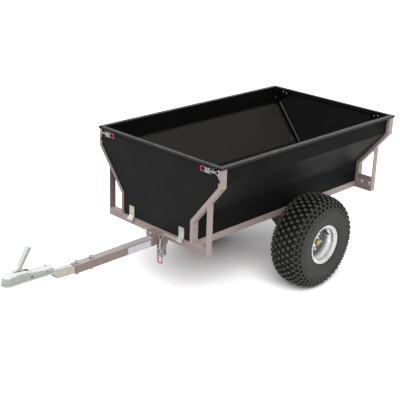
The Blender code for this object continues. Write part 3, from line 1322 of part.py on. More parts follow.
def make_lock(paint, zinc):
    """The pin's bracket on top of the drawbar, the pin, and the tip latch's bracket."""
    far, near = LOCK_LEG_FAR_Y, LOCK_LEG_NEAR_Y
    low = DRAWBAR_TOP + GAP
    middle = FRONT_FACE - BEAM / 2
    xs = [middle - REST_PAD_LENGTH / 2, middle + REST_PAD_LENGTH / 2, LOCK_X - LOCK_LEG_HALF,
          LOCK_X + LOCK_LEG_HALF]
    ys = [far - LOCK_LEG_THICKNESS, far, near, near + LOCK_LEG_THICKNESS]
    zs = [low, low + LOCK_LEG_THICKNESS, BEAM_BOTTOM - GAP, LOCK_LEG_TOP]

    def filled(i, j, k):
        return k == 0 or (i == 0 and k == 1) or (i == 2 and j in (0, 2))

    bracket = build("lock_bracket", blocks(xs, ys, zs, filled), paint)
    cut(bracket, rod(LOCK_PIN_RADIUS + RUNNING, far - DRAWBAR, near + DRAWBAR, 1,
                     (LOCK_X, 0, LOCK_Z), 12), "bracket_bores")
    side = DRAWBAR / 2 + GAP
    wide, narrow = side + TIP_BRACKET_WIDTH, side + TIP_BRACKET_FOOT_WIDTH
    first, second = [DRAWBAR_TOP - drop for drop in TIP_BRACKET_CORNER]
    foot = DRAWBAR_TOP - TIP_BRACKET_DEPTH
    outline = [(side, foot), (narrow, foot), (narrow, second), (wide, first),
               (wide, DRAWBAR_TOP), (side, DRAWBAR_TOP)]
    holder = prism(outline, GATE_FRONT - TIP_BRACKET_THICKNESS, GATE_FRONT, 0)
    holder = build("tip_latch_bracket", holder, paint)
    fuse(holder, tip_latch().plate(-WELD), "tip_latch_plate")

    tip = LOCK_LUG_Y - LOCK_TIP_CLEARANCE
    slide = pivot("pivot_lock_pin", (LOCK_X, tip, LOCK_Z))
    end = LOCK_RING_Y + LOCK_RING_RADIUS
    collar = LOCK_COLLAR_Y
    profile = [(0, end), (LOCK_PIN_RADIUS, end), (LOCK_PIN_RADIUS, collar),
               (LOCK_COLLAR_RADIUS, collar), (LOCK_COLLAR_RADIUS, collar + LOCK_COLLAR_THICKNESS),
               (LOCK_PIN_RADIUS, collar + LOCK_COLLAR_THICKNESS), (LOCK_PIN_RADIUS, tip), (0, tip)]
    pin = build("lock_pin", turned(profile, 1, (LOCK_X, 0, LOCK_Z), 12), zinc, parent=slide,
                smooth=35)
    circle = []
    for step in range(14):
        angle = 2 * math.pi * step / 14
        circle.append((LOCK_X, LOCK_RING_Y + LOCK_RING_RADIUS * math.cos(angle),
                       LOCK_Z + LOCK_RING_RADIUS * math.sin(angle)))
    fuse(pin, wire(circle, LOCK_RING_WIRE, 6, True, (1, 0, 0)), "pull_ring")
    make_spring(zinc, slide)


def make_spring(zinc, parent):
    """The coil round the lock pin, from the far leg to the collar."""
    start = LOCK_LEG_FAR_Y + SPRING_WIRE + GAP
    end = LOCK_COLLAR_Y - SPRING_WIRE - GAP
    count = SPRING_TURNS * SPRING_POINTS
    points, guides = [], []
    for index in range(count + 1):
        angle = 2 * math.pi * index / SPRING_POINTS
        spoke = Vector((math.cos(angle), 0, math.sin(angle)))
        along = start + (end - start) * index / count
        points.append(Vector((LOCK_X, along, LOCK_Z)) + spoke * SPRING_RADIUS)
        guides.append(spoke)
    build("lock_spring", wire(points, SPRING_WIRE, 6, False, guides), zinc, parent=parent,
          smooth=60)
    gap = min((points[a] - points[b]).length for a in range(len(points))
              for b in range(a + SPRING_POINTS // 2, len(points))) - 2 * SPRING_WIRE
    print(f"lock spring: least gap between its turns {gap * 1000:.2f} mm")


def make_trailer():
    clear_scene()
    paint = make_material("frame_paint", (0.42, 0.36, 0.35), 0.42, 0.55)
    black = make_material("black_sheet", (0.030, 0.030, 0.032), 0.45, 0.2)
    rim = make_material("rim_grey", (0.16, 0.16, 0.165), 0.40, 0.4)
    zinc = make_material("zinc", (0.62, 0.64, 0.60), 0.38, 0.85)
    rubber = make_material("rubber", (0.045, 0.045, 0.043), 0.80, 0.0)
    silver = make_material("silver_paint", (0.66, 0.67, 0.68), 0.35, 0.6)
    brass = make_material("yellow_zinc", (0.72, 0.64, 0.30), 0.35, 0.8)

    box_pivot = pivot("pivot_box", (AXLE_X, 0, AXLE_Z))
    front_pivot = pivot("pivot_front_gate", (HINGE_X, 0, HINGE_Z), box_pivot)
    rear_pivot = pivot("pivot_rear_gate", (-HINGE_X, 0, HINGE_Z), box_pivot)
    make_crossmembers(paint, box_pivot)
    make_rails(paint, box_pivot)
    make_posts(paint, box_pivot)
    make_axle_plates(paint, box_pivot)
    make_tub(black, rim, box_pivot)
    make_gate("front", lambda shape: shape, black, rim, zinc, front_pivot)
    make_gate("rear", reversed_x, black, rim, zinc, rear_pivot)
    make_latches(zinc, front_pivot, rear_pivot)
    make_latch_movers("tip_latch", tip_latch(), zinc, None)

    make_axle(paint)
    make_drawbar(paint)
    make_bolts(zinc)
    make_extension(zinc)
    make_coupling(zinc)
    make_handle(zinc, pivot("pivot_handle", (HANDLE_PIVOT_X, 0, HANDLE_PIVOT_Z)))
    make_jaw(zinc, pivot("pivot_jaw", (JAW_PIVOT_X, 0, JAW_PIVOT_Z)))
    make_lock(paint, zinc)
    for tag, side in (("left", 1), ("right", -1)):
        wheel = pivot(f"pivot_wheel_{tag}", (AXLE_X, side * WHEEL_Y, AXLE_Z))
        make_wheel(tag, side, rubber, silver, brass, wheel)

    for item in bpy.data.objects:
        if item.parent is None:
            item.location.x += CENTRE_SHIFT
    bpy.context.view_layer.update()


make_trailer()
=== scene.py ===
"""Looks of the all-terrain vehicle trailer: camera, light, materials and the fine pieces."""

import math

import bmesh
import bpy
from mathutils import Matrix, Vector


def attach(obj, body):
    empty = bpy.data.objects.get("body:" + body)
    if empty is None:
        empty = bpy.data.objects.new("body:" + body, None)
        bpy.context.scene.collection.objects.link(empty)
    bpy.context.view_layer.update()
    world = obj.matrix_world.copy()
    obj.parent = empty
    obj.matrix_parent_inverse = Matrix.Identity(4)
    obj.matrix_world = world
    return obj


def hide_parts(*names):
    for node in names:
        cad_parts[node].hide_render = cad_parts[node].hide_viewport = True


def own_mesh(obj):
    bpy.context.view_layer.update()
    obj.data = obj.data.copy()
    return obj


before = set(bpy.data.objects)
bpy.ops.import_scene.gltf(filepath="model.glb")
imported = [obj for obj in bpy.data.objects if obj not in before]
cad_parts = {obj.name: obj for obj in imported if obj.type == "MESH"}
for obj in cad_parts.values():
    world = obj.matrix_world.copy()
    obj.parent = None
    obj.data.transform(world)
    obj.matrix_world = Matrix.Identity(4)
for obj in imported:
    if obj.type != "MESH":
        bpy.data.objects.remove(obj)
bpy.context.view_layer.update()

# The trailer is drawn about the middle of its tub, as its CAD is, and moved by this in X.
SHIFT = -0.48385
WHEEL_X = -0.090 + SHIFT
WHEEL_Y = 0.426
WHEEL_Z = 0.2795


# Shapes are pairs of points and faces.

def joined(shapes):
    points, faces = [], []
    for shape_points, shape_faces in shapes:
        start = len(points)
        points += [Vector(point) for point in shape_points]
        faces += [[start + index for index in face] for face in shape_faces]
    return points, faces


def mapped(shape, change):
    points, faces = shape
    return [Vector(change(*point)) for point in points], faces


def moved(shape, offset):
    offset = Vector(offset)
    return [Vector(point) + offset for point in shape[0]], shape[1]


def placed(axis, along, a, b):
    values = [a, b]
    values.insert(axis, along)
    return Vector(values)


def turned(profile, axis, centre, steps):
    """Spins a profile of (radius, height) about an axis. A profile that starts at radius 0 is
    capped there, any other one closes on itself."""
    capped = profile[0][0] == 0
    points, rings = [], []
    for radius, height in profile:
        if radius == 0:
            rings.append([len(points)] * steps)
            points.append(placed(axis, height, 0, 0))
            continue
        rings.append(list(range(len(points), len(points) + steps)))
        for step in range(steps):
            angle = 2 * math.pi * step / steps
            points.append(placed(axis, height, radius * math.cos(angle),
                                 radius * math.sin(angle)))
    faces = []
    count = len(rings)
    for index in range(count - 1 if capped else count):
        ring, after = rings[index], rings[(index + 1) % count]
        for step in range(steps):
            turn = (step + 1) % steps
            faces.append(list(dict.fromkeys([ring[step], ring[turn], after[turn], after[step]])))
    return moved((points, faces), centre)


def prism(outline, low, high, axis):
    count = len(outline)
    points = [placed(axis, low, a, b) for a, b in outline]
    points += [placed(axis, high, a, b) for a, b in outline]
    faces = [list(range(count - 1, -1, -1)), list(range(count, 2 * count))]
    for index in range(count):
        after = (index + 1) % count
        faces.append([index, after, after + count, index + count])
    return points, faces


def box(low, high):
    outline = [(low[1], low[2]), (high[1], low[2]), (high[1], high[2]), (low[1], high[2])]
    return prism(outline, low[0], high[0], 0)


def smoothed(path, steps):
    """A Catmull-Rom curve through the points of a path."""
    path = [Vector(point) for point in path]
    last = len(path) - 1
    out = []
    for index in range(last):
        a, b, c, d = (path[min(max(index + offset, 0), last)] for offset in (-1, 0, 1, 2))
        for step in range(steps):
            t = step / steps
            out.append(0.5 * (2 * b + (c - a) * t + (2 * a - 5 * b + 4 * c - d) * t * t
                              + (3 * b - a - 3 * c + d) * t ** 3))
    out.append(path[-1])
    return out


def tube(path, radius, sides):
    """A round wire along a path, with its radius a number or one for each point."""
    path = [Vector(point) for point in path]
    count = len(path)
    radii = radius if isinstance(radius, (list, tuple)) else [radius] * count
    points, faces = [], []
    normal = None
    for index, point in enumerate(path):
        before = path[max(index - 1, 0)]
        after = path[min(index + 1, count - 1)]
        along = (after - before).normalized()
        if normal is None:
            normal = along.orthogonal().normalized()
        normal = (normal - along * normal.dot(along)).normalized()
        across = along.cross(normal)
        for side in range(sides):
            angle = 2 * math.pi * side / sides
            points.append(point + radii[index] * (normal * math.cos(angle)
                                                  + across * math.sin(angle)))
    for index in range(count - 1):
        start, end = index * sides, (index + 1) * sides
        for side in range(sides):
            turn = (side + 1) % sides
            faces.append([start + side, start + turn, end + turn, end + side])
    faces.append(list(range(sides - 1, -1, -1)))
    faces.append([(count - 1) * sides + side for side in range(sides)])
    return points, faces


def build(name, shape, material, body, smooth=35, bevel=0.0):
    """Makes a piece that rides on a body, smooth shaded, with its edges rounded off when a bevel
    is given.
    """
    mesh = bpy.data.meshes.new(name)
    points, faces = shape
    mesh.from_pydata([tuple(point) for point in points], [], faces)
    work = bmesh.new()
    work.from_mesh(mesh)
    bmesh.ops.recalc_face_normals(work, faces=work.faces)
    work.to_mesh(mesh)
    work.free()
    item = bpy.data.objects.new(name, mesh)
    bpy.context.scene.collection.objects.link(item)
    mesh.materials.append(material)
    if bevel:
        rounded(item, bevel)
    mesh.shade_smooth()
    mesh.set_sharp_from_angle(angle=math.radians(smooth))
    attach(item, body)
    return item


def rounded(item, width):
    """Rounds an object's edges, so that they catch the light."""
    bevel = item.modifiers.new("edges", "BEVEL")
    bevel.width = width
    bevel.segments = 2
    bevel.limit_method = "ANGLE"
    bevel.angle_limit = math.radians(30)
    bevel.harden_normals = True
    bevel.miter_outer = "MITER_ARC"


class Look:
    """A material made of nodes round one Principled shader."""

    def __init__(self, name, colour, roughness, metallic=0.0, specular=0.5, coat=0.0):
        self.material = bpy.data.materials.new(name)
        self.material.use_nodes = True
        self.tree = self.material.node_tree
        self.shader = self.tree.nodes["Principled BSDF"]
        self.colour = (*colour, 1.0)
        self.set("Base Color", self.colour)
        self.set("Roughness", roughness)
        self.set("Metallic", metallic)
        self.set("Specular IOR Level", specular)
        if coat:
            self.set("Coat Weight", coat)
            self.set("Coat Roughness", 0.12)
        self.roughness = roughness
        self.place = self.tree.nodes.new("ShaderNodeTexCoord").outputs["Object"]

    def set(self, name, value):
        self.shader.inputs[name].default_value = value

    def link(self, a, b):
        self.tree.links.new(a, b)

    def noise(self, scale, detail=4.0):
        node = self.tree.nodes.new("ShaderNodeTexNoise")
        node.inputs["Scale"].default_value = scale
        node.inputs["Detail"].default_value = detail
        node.inputs["Roughness"].default_value = 0.55
        self.link(self.place, node.inputs["Vector"])
        return node.outputs["Fac"]

    def range(self, value, low, high, to_low, to_high):
        node = self.tree.nodes.new("ShaderNodeMapRange")
        for name, number in (("From Min", low), ("From Max", high), ("To Min", to_low),
                             ("To Max", to_high)):
            node.inputs[name].default_value = number
        self.link(value, node.inputs["Value"])
        return node.outputs["Result"]

    def mix(self, factor, a, b):
        node = self.tree.nodes.new("ShaderNodeMix")
        node.data_type = "RGBA"
        self.link(factor, node.inputs["Factor"])
        for name, value in (("A", a), ("B", b)):
            socket = [s for s in node.inputs if s.name == name and s.type == "RGBA"][0]
            if isinstance(value, tuple):
                socket.default_value = (*value[:3], 1.0)
            else:
                self.link(value, socket)
        return [s for s in node.outputs if s.type == "RGBA"][0]

    def up(self, vector):
        """The Z part of a vector."""
        node = self.tree.nodes.new("ShaderNodeSeparateXYZ")
        self.link(vector, node.inputs["Vector"])
        return node.outputs["Z"]

    def tilt(self, low=0.05, high=0.55):
        """0 for upright and hanging faces up to 1 for faces that look upwards."""
        return self.range(self.up(self.place.node.outputs["Normal"]), low, high, 0, 1)

    def tinted(self, factor, other):
        self.colour = self.mix(factor, self.colour, other)
        self.link(self.colour, self.shader.inputs["Base Color"])

    def worn(self, scale, other, low, high):
        """Mixes patches of another colour into the surface's own."""
        self.tinted(self.range(self.noise(scale), low, high, 0, 1), other)

    def gloss(self, scale, spread):
        """Lets the roughness wander about its value."""
        value = self.range(self.noise(scale), 0.3, 0.7,
                           self.roughness - spread, self.roughness + spread)
        self.link(value, self.shader.inputs["Roughness"])

    def bump(self, height, strength, distance, before=None):
        node = self.tree.nodes.new("ShaderNodeBump")
        node.inputs["Strength"].default_value = strength
        node.inputs["Distance"].default_value = distance
        self.link(height, node.inputs["Height"])
        if before:
            self.link(before, node.inputs["Normal"])
        self.link(node.outputs["Normal"], self.shader.inputs["Normal"])
        return node.outputs["Normal"]


def shaded(colour, factor):
    return tuple(value * factor for value in colour)


def frame_paint(name, colour, lit_top=None):
    look = Look(name, colour, 0.40, specular=0.45)
    look.worn(9, shaded(colour, 0.88), 0.40, 0.72)
    look.worn(60, shaded(colour, 1.13), 0.56, 0.80)
    # Faces that look upwards take the paler colour given here: painted light.
    if lit_top:
        look.tinted(look.tilt(), lit_top)
    look.gloss(25, 0.07)
    orange_peel = look.bump(look.noise(420, 2), 0.12, 0.0006)
    look.bump(look.noise(14, 3), 0.10, 0.002, orange_peel)
    return look.material


# Heights between which a side wall's upper fold turns into its slope
FOLD_BAND = (0.805, 0.812)


def black_sheet(name, level, lit_slope=None):
    """Black paint of a given lightness, with a paler level on the slope beneath the sheet's upper
    fold, where it looks upwards: painted light.
    """
    look = Look(name, (level, level, 1.02 * level), 0.56, specular=0.04)
    look.worn(5, shaded((level, level, level), 1.25), 0.42, 0.75)
    if lit_slope:
        # The slope beneath the fold is painted paler: painted light.
        lit_slope_mask = look.range(look.up(look.place), *FOLD_BAND, 1, 0)
        look.tinted(lit_slope_mask, (lit_slope, 0.97 * lit_slope, 0.92 * lit_slope))
    look.gloss(7, 0.05)
    grain = look.bump(look.noise(900, 2), 0.10, 0.0004)
    look.bump(look.noise(3.0, 2), 0.10, 0.006, grain)
    return look.material


def rim_grey():
    look = Look("rim_grey", (0.0040, 0.0040, 0.0040), 0.36, specular=0.13)
    # The rims are black paint; the paler colour on faces that look upwards is a painted highlight.
    look.tinted(look.tilt(), (0.058, 0.058, 0.058))
    look.worn(30, (0.0110, 0.0110, 0.0108), 0.45, 0.78)
    look.gloss(30, 0.06)
    look.bump(look.noise(600, 2), 0.10, 0.0004)
    return look.material


def edge_highlight_grey():
    # A paler colour for the black folded edges of the corner angles: a painted highlight.
    look = Look("edge_highlight_grey", (0.085, 0.085, 0.082), 0.40, specular=0.3)
    look.worn(30, (0.060, 0.060, 0.060), 0.45, 0.78)
    look.gloss(30, 0.06)
    look.bump(look.noise(600, 2), 0.10, 0.0004)
    return look.material


def zinc(name="zinc", colour=(0.52, 0.54, 0.52), other=(0.36, 0.38, 0.36), roughness=0.34,
         lit_top=None):
    look = Look(name, colour, roughness, metallic=0.85)
    look.worn(45, other, 0.42, 0.70)
    look.worn(220, shaded(colour, 1.35), 0.58, 0.80)
    # Faces that look upwards take the paler colour given here: painted light.
    if lit_top:
        look.tinted(look.tilt(), lit_top)
    look.gloss(80, 0.08)
    look.bump(look.noise(300, 3), 0.12, 0.0005)
    return look.material


def tan_zinc():
    # Its near white colour is painted light on faces that look upwards.
    return zinc("tan_zinc", (0.36, 0.335, 0.275), (0.29, 0.27, 0.22), 0.38, (0.78, 0.77, 0.73))


def cast_zinc():
    look = Look("cast_zinc", (0.36, 0.39, 0.355), 0.30, metallic=0.25)
    look.worn(30, (0.34, 0.365, 0.33), 0.42, 0.72)
    # Faces that look upwards turn near white and the sides stay darker: painted light and
    # reflection on the casting.
    look.tinted(look.tilt(0.20, 0.70), (0.86, 0.88, 0.88))
    look.gloss(60, 0.07)
    look.bump(look.noise(240, 3), 0.14, 0.0006)
    return look.material


def rubber():
    """Dull black rubber, left very dark between the blocks as painted shade, and paler on the
    blocks' upper faces, partly dust and wear and partly painted light.
    """
    look = Look("rubber", (0.0045, 0.0045, 0.0045), 0.58, specular=0.22)
    look.worn(18, (0.007, 0.007, 0.007), 0.40, 0.75)
    # The blocks' upper faces and ribs, marked by the worn attribute, take the paler colour: partly
    # dust and wear, partly painted light.
    lit_top = look.tree.nodes.new("ShaderNodeAttribute")
    lit_top.attribute_name = "worn"
    look.tinted(lit_top.outputs["Fac"], (0.072, 0.072, 0.068))
    look.gloss(40, 0.08)
    grain = look.bump(look.noise(700, 3), 0.25, 0.0006)
    look.bump(look.noise(60, 3), 0.15, 0.001, grain)
    return look.material


def silver_paint():
    look = Look("silver_paint", (0.72, 0.72, 0.73), 0.25, metallic=0.45)
    look.worn(25, (0.62, 0.62, 0.63), 0.42, 0.75)
    look.gloss(40, 0.06)
    look.bump(look.noise(500, 2), 0.08, 0.0004)
    return look.material


def disc_paint():
    look = Look("disc_paint", (0.105, 0.105, 0.110), 0.42, metallic=0.3)
    look.worn(40, (0.080, 0.080, 0.085), 0.42, 0.75)
    look.gloss(40, 0.06)
    look.bump(look.noise(500, 2), 0.08, 0.0004)
    return look.material


def yellow_zinc():
    look = Look("yellow_zinc", (0.42, 0.34, 0.08), 0.32, metallic=0.6)
    look.worn(90, (0.38, 0.25, 0.10), 0.50, 0.75)
    look.worn(140, (0.46, 0.45, 0.18), 0.55, 0.75)
    look.gloss(90, 0.06)
    look.bump(look.noise(400, 2), 0.10, 0.0004)
    return look.material


def red_plastic():
    look = Look("red_plastic", (0.58, 0.022, 0.035), 0.34, specular=0.5, coat=0.2)
    look.worn(160, (0.50, 0.016, 0.026), 0.45, 0.75)
    look.gloss(120, 0.06)
    look.bump(look.noise(500, 2), 0.10, 0.0004)
    return look.material


def white_sign():
    look = Look("white_sign", (0.72, 0.72, 0.79), 0.35, specular=0.5)
    look.worn(60, (0.64, 0.64, 0.70), 0.45, 0.75)
    look.gloss(80, 0.05)
    look.bump(look.noise(150, 2), 0.08, 0.0005)
    return look.material


def black_rubber():
    look = Look("black_rubber", (0.012, 0.012, 0.012), 0.5, specular=0.4)
    look.worn(120, (0.022, 0.022, 0.021), 0.45, 0.75)
    look.gloss(120, 0.08)
    look.bump(look.noise(500, 2), 0.15, 0.0005)
    return look.material


def dressed(names, material, bevel=0.0):
    """Gives CAD nodes their material, and rounds their edges when a bevel is given."""
    for name in names:
        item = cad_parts[name]
        item.data.materials.clear()
        item.data.materials.append(material)
        if bevel:
            rounded(item, bevel)


ENDS = ("front", "rear")
HANDS = ("left", "right")


def dress_nodes(highlight_grey, steel, tan, cast):
    # The frame has one mauve paint, drawn here in lit and shaded copies: the near posts and rails
    # lighter, the far posts and the axle with its plates darkened as painted shade, and the bars
    # and drawbar darker at the sides with paler upper faces as painted light.
    posts = frame_paint("post_paint", (0.44, 0.355, 0.335))
    dressed(["post_fl", "post_rl"], posts, 0.0009)
    dressed(["post_fr", "post_rr"], frame_paint("far_post_shaded_paint", (0.22, 0.172, 0.164)), 0.0009)
    dressed(["side_rail_left", "side_rail_right"], frame_paint("rail_paint", (0.42, 0.33, 0.315)),
            0.0009)
    dressed(["axle_plate_left", "axle_plate_right", "axle"],
            frame_paint("axle_shaded_paint", (0.085, 0.062, 0.055)), 0.0009)
    bars = ["crossmember_front", "crossmember_rear", "floor_bearer_front", "floor_bearer_rear",
            "axle_saddle", "lock_bracket", "tip_latch_bracket"]
    dressed(bars, frame_paint("frame_paint", (0.315, 0.24, 0.225), (0.46, 0.37, 0.36)), 0.0009)
    dressed(["drawbar"], frame_paint("drawbar_paint", (0.30, 0.225, 0.21), (0.52, 0.45, 0.45)),
            0.0009)
    # One black paint in lit and shaded copies: each sheet's level, and the far wall's paler slope,
    # stand for the light that falls on it, as painted light and shade.
    for name, level, lit_slope in (("front_gate", 0.015, None), ("floor", 0.028, None),
                               ("side_wall_right", 0.005, 0.028), ("rear_gate", 0.0135, None),
                               ("side_wall_left", 0.0065, None)):
        dressed([name], black_sheet(name + "_black", level, lit_slope), 0.0007)
    dressed(["side_rim_left", "side_rim_right", "front_gate_rim", "rear_gate_rim"], highlight_grey, 0.0018)
    dull = zinc("dull_zinc", (0.21, 0.225, 0.215), (0.10, 0.105, 0.10), 0.32)
    for end in ENDS:
        dressed([f"{end}_gate_strap_left"], steel, 0.0006)
        dressed([f"{end}_gate_strap_right"], tan, 0.0006)
        dressed([f"{end}_latch_plate_{hand}" for hand in HANDS], dull, 0.0003)
        dressed([f"{end}_latch_{hand}_lever" for hand in HANDS], dull)
        dressed([f"{end}_latch_{hand}_loop" for hand in HANDS], steel)
    dressed(["tip_latch_lever"], dull)
    dressed(["tip_latch_loop", "coupling_jaw", "coupling_bolt"], steel)
    dressed(["drawbar_bolt_front", "drawbar_bolt_rear", "lock_pin"],
            zinc("bright_pin", (0.50, 0.50, 0.485), (0.36, 0.36, 0.35), 0.32))
    dressed(["extension_channel"], tan, 0.0006)
    dressed(["coupling_body", "coupling_handle"], cast, 0.0008)


# Tyre section: a rounded square carcass from the rim to the crown, in (radius, offset) points
TYRE_RADIUS = 0.2795
TYRE_HALF = 0.107
SHOULDER_RADIUS = 0.201
KNOB_HEIGHT = 0.0125
ROUNDNESS = 0.8333
# Blocks on the flank stand out less, so that the tyre keeps the width of its node.
FLANK_SINK = 0.56
# A block stands on a root sunk in the carcass, with its edges a little out and in of its size.
KNOB_ROOT = 0.002
KNOB_TAPER = 0.0024
KNOB_POINTS = 16
ARC_STEPS = 200
SKIN_STEPS = 16
TYRE_STEPS = 138
WALL_LINES = (0.1905, 0.1320)
WALL_LINE_HEIGHT = 0.0011
WALL_LINE_STEPS = 128
RIM_STEPS = 96


def carcass_point(angle):
    """A point of the carcass, with angle 0 at the sidewall's bulge and 90 degrees at the
    crown."""
    crown = TYRE_RADIUS - KNOB_HEIGHT
    rise = math.sin(angle) ** ROUNDNESS
    return (SHOULDER_RADIUS + (crown - SHOULDER_RADIUS) * rise,
            TYRE_HALF * math.cos(angle) ** ROUNDNESS)


def carcass_arc():
    """Distances along the carcass from the crown, with their angles."""
    out = [(0.0, math.pi / 2)]
    last = carcass_point(math.pi / 2)
    for step in range(1, ARC_STEPS + 1):
        angle = math.pi / 2 * (1 - step / ARC_STEPS)
        point = carcass_point(max(angle, 0.0))
        out.append((out[-1][0] + math.dist(point, last), angle))
        last = point
    return out


ARC = carcass_arc()


def on_carcass(distance, lift):
    """The (radius, offset) point at a distance from the crown, lifted off the carcass."""
    side = 1 if distance >= 0 else -1
    reach = abs(distance)
    angle = ARC[-1][1]
    for (near, a), (far, b) in zip(ARC, ARC[1:]):
        if near <= reach <= far:
            angle = a + (b - a) * (reach - near) / max(far - near, 1e-9)
            break
    radius, offset = carcass_point(max(angle, 0.0))
    more = carcass_point(max(angle - 0.02, 0.0))
    less = carcass_point(min(angle + 0.02, math.pi / 2))
    slope = Vector((more[0] - less[0], more[1] - less[1])).normalized()
    normal = Vector((slope[1], -slope[0]))
    reach = offset + lift * normal[1]
    reach -= FLANK_SINK * max(reach - TYRE_HALF, 0.0)
    return min(radius + lift * normal[0], TYRE_RADIUS), side * reach


def knob(distance, turn, wide, long, height, skew):
    """One tread block of a width across and a length round the tyre, at an angle of turn."""
    levels = ((-KNOB_ROOT, 0.0008), (height * 0.55, -KNOB_TAPER * 0.5),
              (height - 0.0012, -KNOB_TAPER), (height, -KNOB_TAPER - 0.0010))
    points, faces = [], []
    for lift, grow in levels:
        for a, b in ((-1, -1), (1, -1), (1, 1), (-1, 1)):
            radius, offset = on_carcass(distance + a * (wide / 2 + grow), lift)
            angle = turn + (b * (long / 2 + grow) + a * skew) / (TYRE_RADIUS - 0.01)
            points.append(Vector((radius * math.sin(angle), offset, radius * math.cos(angle))))
    for level in range(len(levels) - 1):
        for side in range(4):
            low, after = level * 4 + side, level * 4 + (side + 1) % 4
            faces.append([low, after, after + 4, low + 4])
    faces.append([len(points) - 4 + side for side in range(4)])
    faces.append([3, 2, 1, 0])
    return points, faces


KNOB_PITCH = 42
# Rows on each side of the crown: distance from it, width, length, height, phase and skew
KNOB_ROWS = ((0.0145, 0.0215, 0.0200, 0.0125, 0.0, 0.0),
             (0.0425, 0.0215, 0.0200, 0.0125, 0.5, 0.0),
             (0.0675, 0.0190, 0.0190, 0.0125, 0.0, 0.0),
             (0.0900, 0.0230, 0.0130, 0.0120, 0.5, 0.0),
             (0.1120, 0.0230, 0.0130, 0.0105, 0.0, 0.0),
             (0.1310, 0.0190, 0.0150, 0.0085, 0.5, 0.003))
# Ribs on each side of the crown: distance from it, width and height
SHOULDER_RINGS = ((0.0790, 0.0050, 0.0055), (0.1005, 0.0050, 0.0050), (0.1215, 0.0045, 0.0045))


def tread():
    """Rows of blocks from one shoulder to the other, every second row half a step on."""
    shapes = []
    step = 2 * math.pi / KNOB_PITCH
    for side in (1, -1):
        for distance, wide, long, height, phase, skew in KNOB_ROWS:
            for count in range(KNOB_PITCH):
                turn = (count + phase + (0.5 if side < 0 else 0.0)) * step
                shapes.append(knob(side * distance, turn, wide, long, height, skew))
    return joined(shapes)


def shoulder_ring(distance, wide, height):
    """A rib round the tyre that joins the shoulder's blocks to a net."""
    half = wide / 2
    low = height - 0.0012
    profile = [on_carcass(distance - half - 0.0010, -KNOB_ROOT), on_carcass(distance - half, low),
               on_carcass(distance - half + 0.001, height),
               on_carcass(distance + half - 0.001, height), on_carcass(distance + half, low),
               on_carcass(distance + half + 0.0010, -KNOB_ROOT)]
    return turned(profile, 1, (0, 0, 0), TYRE_STEPS)


def carcass_profile():
    """The tyre's skin, from one bead over the tread to the other and back inside."""
    skin = [(0.1040, 0.0760), (0.1050, 0.0890), (0.1120, 0.0945), (0.1195, 0.0965),
            (0.1225, 0.0990), (0.1300, 0.1010), (0.1420, 0.1035), (0.1560, 0.1055),
            (0.1700, 0.1066), (0.1850, TYRE_HALF)]
    for step in range(SKIN_STEPS):
        skin.append(carcass_point(math.pi / 2 * step / SKIN_STEPS))
    skin.append(carcass_point(math.pi / 2))
    inside = [(0.1115, 0.0740), (0.1500, 0.0950), (0.1900, 0.0980), (0.2350, 0.0850),
              (0.2550, 0.0500)]
    profile = skin + [(radius, -offset) for radius, offset in reversed(skin[:-1])]
    profile += [(radius, -offset) for radius, offset in inside]
    return profile + [(radius, offset) for radius, offset in reversed(inside)]


def ring_line(radius, offset, height):
    """A thin raised line round the sidewall."""
    profile = [(radius - 0.0022, offset - 0.001), (radius - 0.0012, offset + height),
               (radius + 0.0012, offset + height), (radius + 0.0022, offset - 0.001)]
    return turned(profile, 1, (0, 0, 0), WALL_LINE_STEPS)


def sidewall_offset(radius):
    """The sidewall's offset at a radius, for what is raised on it."""
    outside = carcass_profile()[3:10 + SKIN_STEPS]
    for (near, a), (far, b) in zip(outside, outside[1:]):
        if near <= radius <= far:
            return a + (b - a) * (radius - near) / (far - near)
    return TYRE_HALF


# Share of the blocks' paler colour, partly dust and partly painted light, on the sidewall
WALL_DUST_AND_LIGHT = 0.48
WALL_TOP = 0.226


def wall_dust_and_light(point):
    """The sidewall is paler than the skin between the blocks, which is left dark as painted shade;
    it takes a share of the blocks' paler colour, partly dust and partly painted light.
    """
    radius = math.hypot(point[0], point[2])
    return WALL_DUST_AND_LIGHT * min(max((WALL_TOP - radius) / 0.012, 0.0), 1.0)


def make_tyre(hand, side, material):
    parts = [turned(carcass_profile(), 1, (0, 0, 0), TYRE_STEPS)]
    for radius in WALL_LINES:
        for face in (1, -1):
            line = ring_line(radius, sidewall_offset(radius), WALL_LINE_HEIGHT)
            parts.append(mapped(line, lambda x, y, z: (x, face * y, z)))
    # Paleness of each point: a share on the sidewall, 1 on the ribs' and blocks' upper faces, 0 on
    # the skin between the blocks, which stays dark as painted shade.
    values = [wall_dust_and_light(point) for part in parts for point in part[0]]
    for size in SHOULDER_RINGS:
        ring = shoulder_ring(*size)
        for face in (1, -1):
            parts.append(mapped(ring, lambda x, y, z: (x, face * y, z)))
            values += [1.0 if 0 < index // TYRE_STEPS < 5 else 0.0
                       for index in range(len(ring[0]))]
    blocks = tread()
    values += [1.0 if index % KNOB_POINTS >= KNOB_POINTS / 2 else 0.0
               for index in range(len(blocks[0]))]
    shape = joined(parts + [blocks])
    centre = (WHEEL_X, side * WHEEL_Y, WHEEL_Z)
    item = build(f"tyre_{hand}_rubber", shape, material, f"wheel_{hand}", smooth=42)
    # The worn attribute carries this paleness, dust and wear mixed with painted light.
    attribute = item.data.attributes.new("worn", "FLOAT", "POINT")
    attribute.data.foreach_set("value", values)
    item.location = centre
    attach(item, f"wheel_{hand}")
    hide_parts(f"tyre_{hand}")


RIM_SHEET = 0.0032


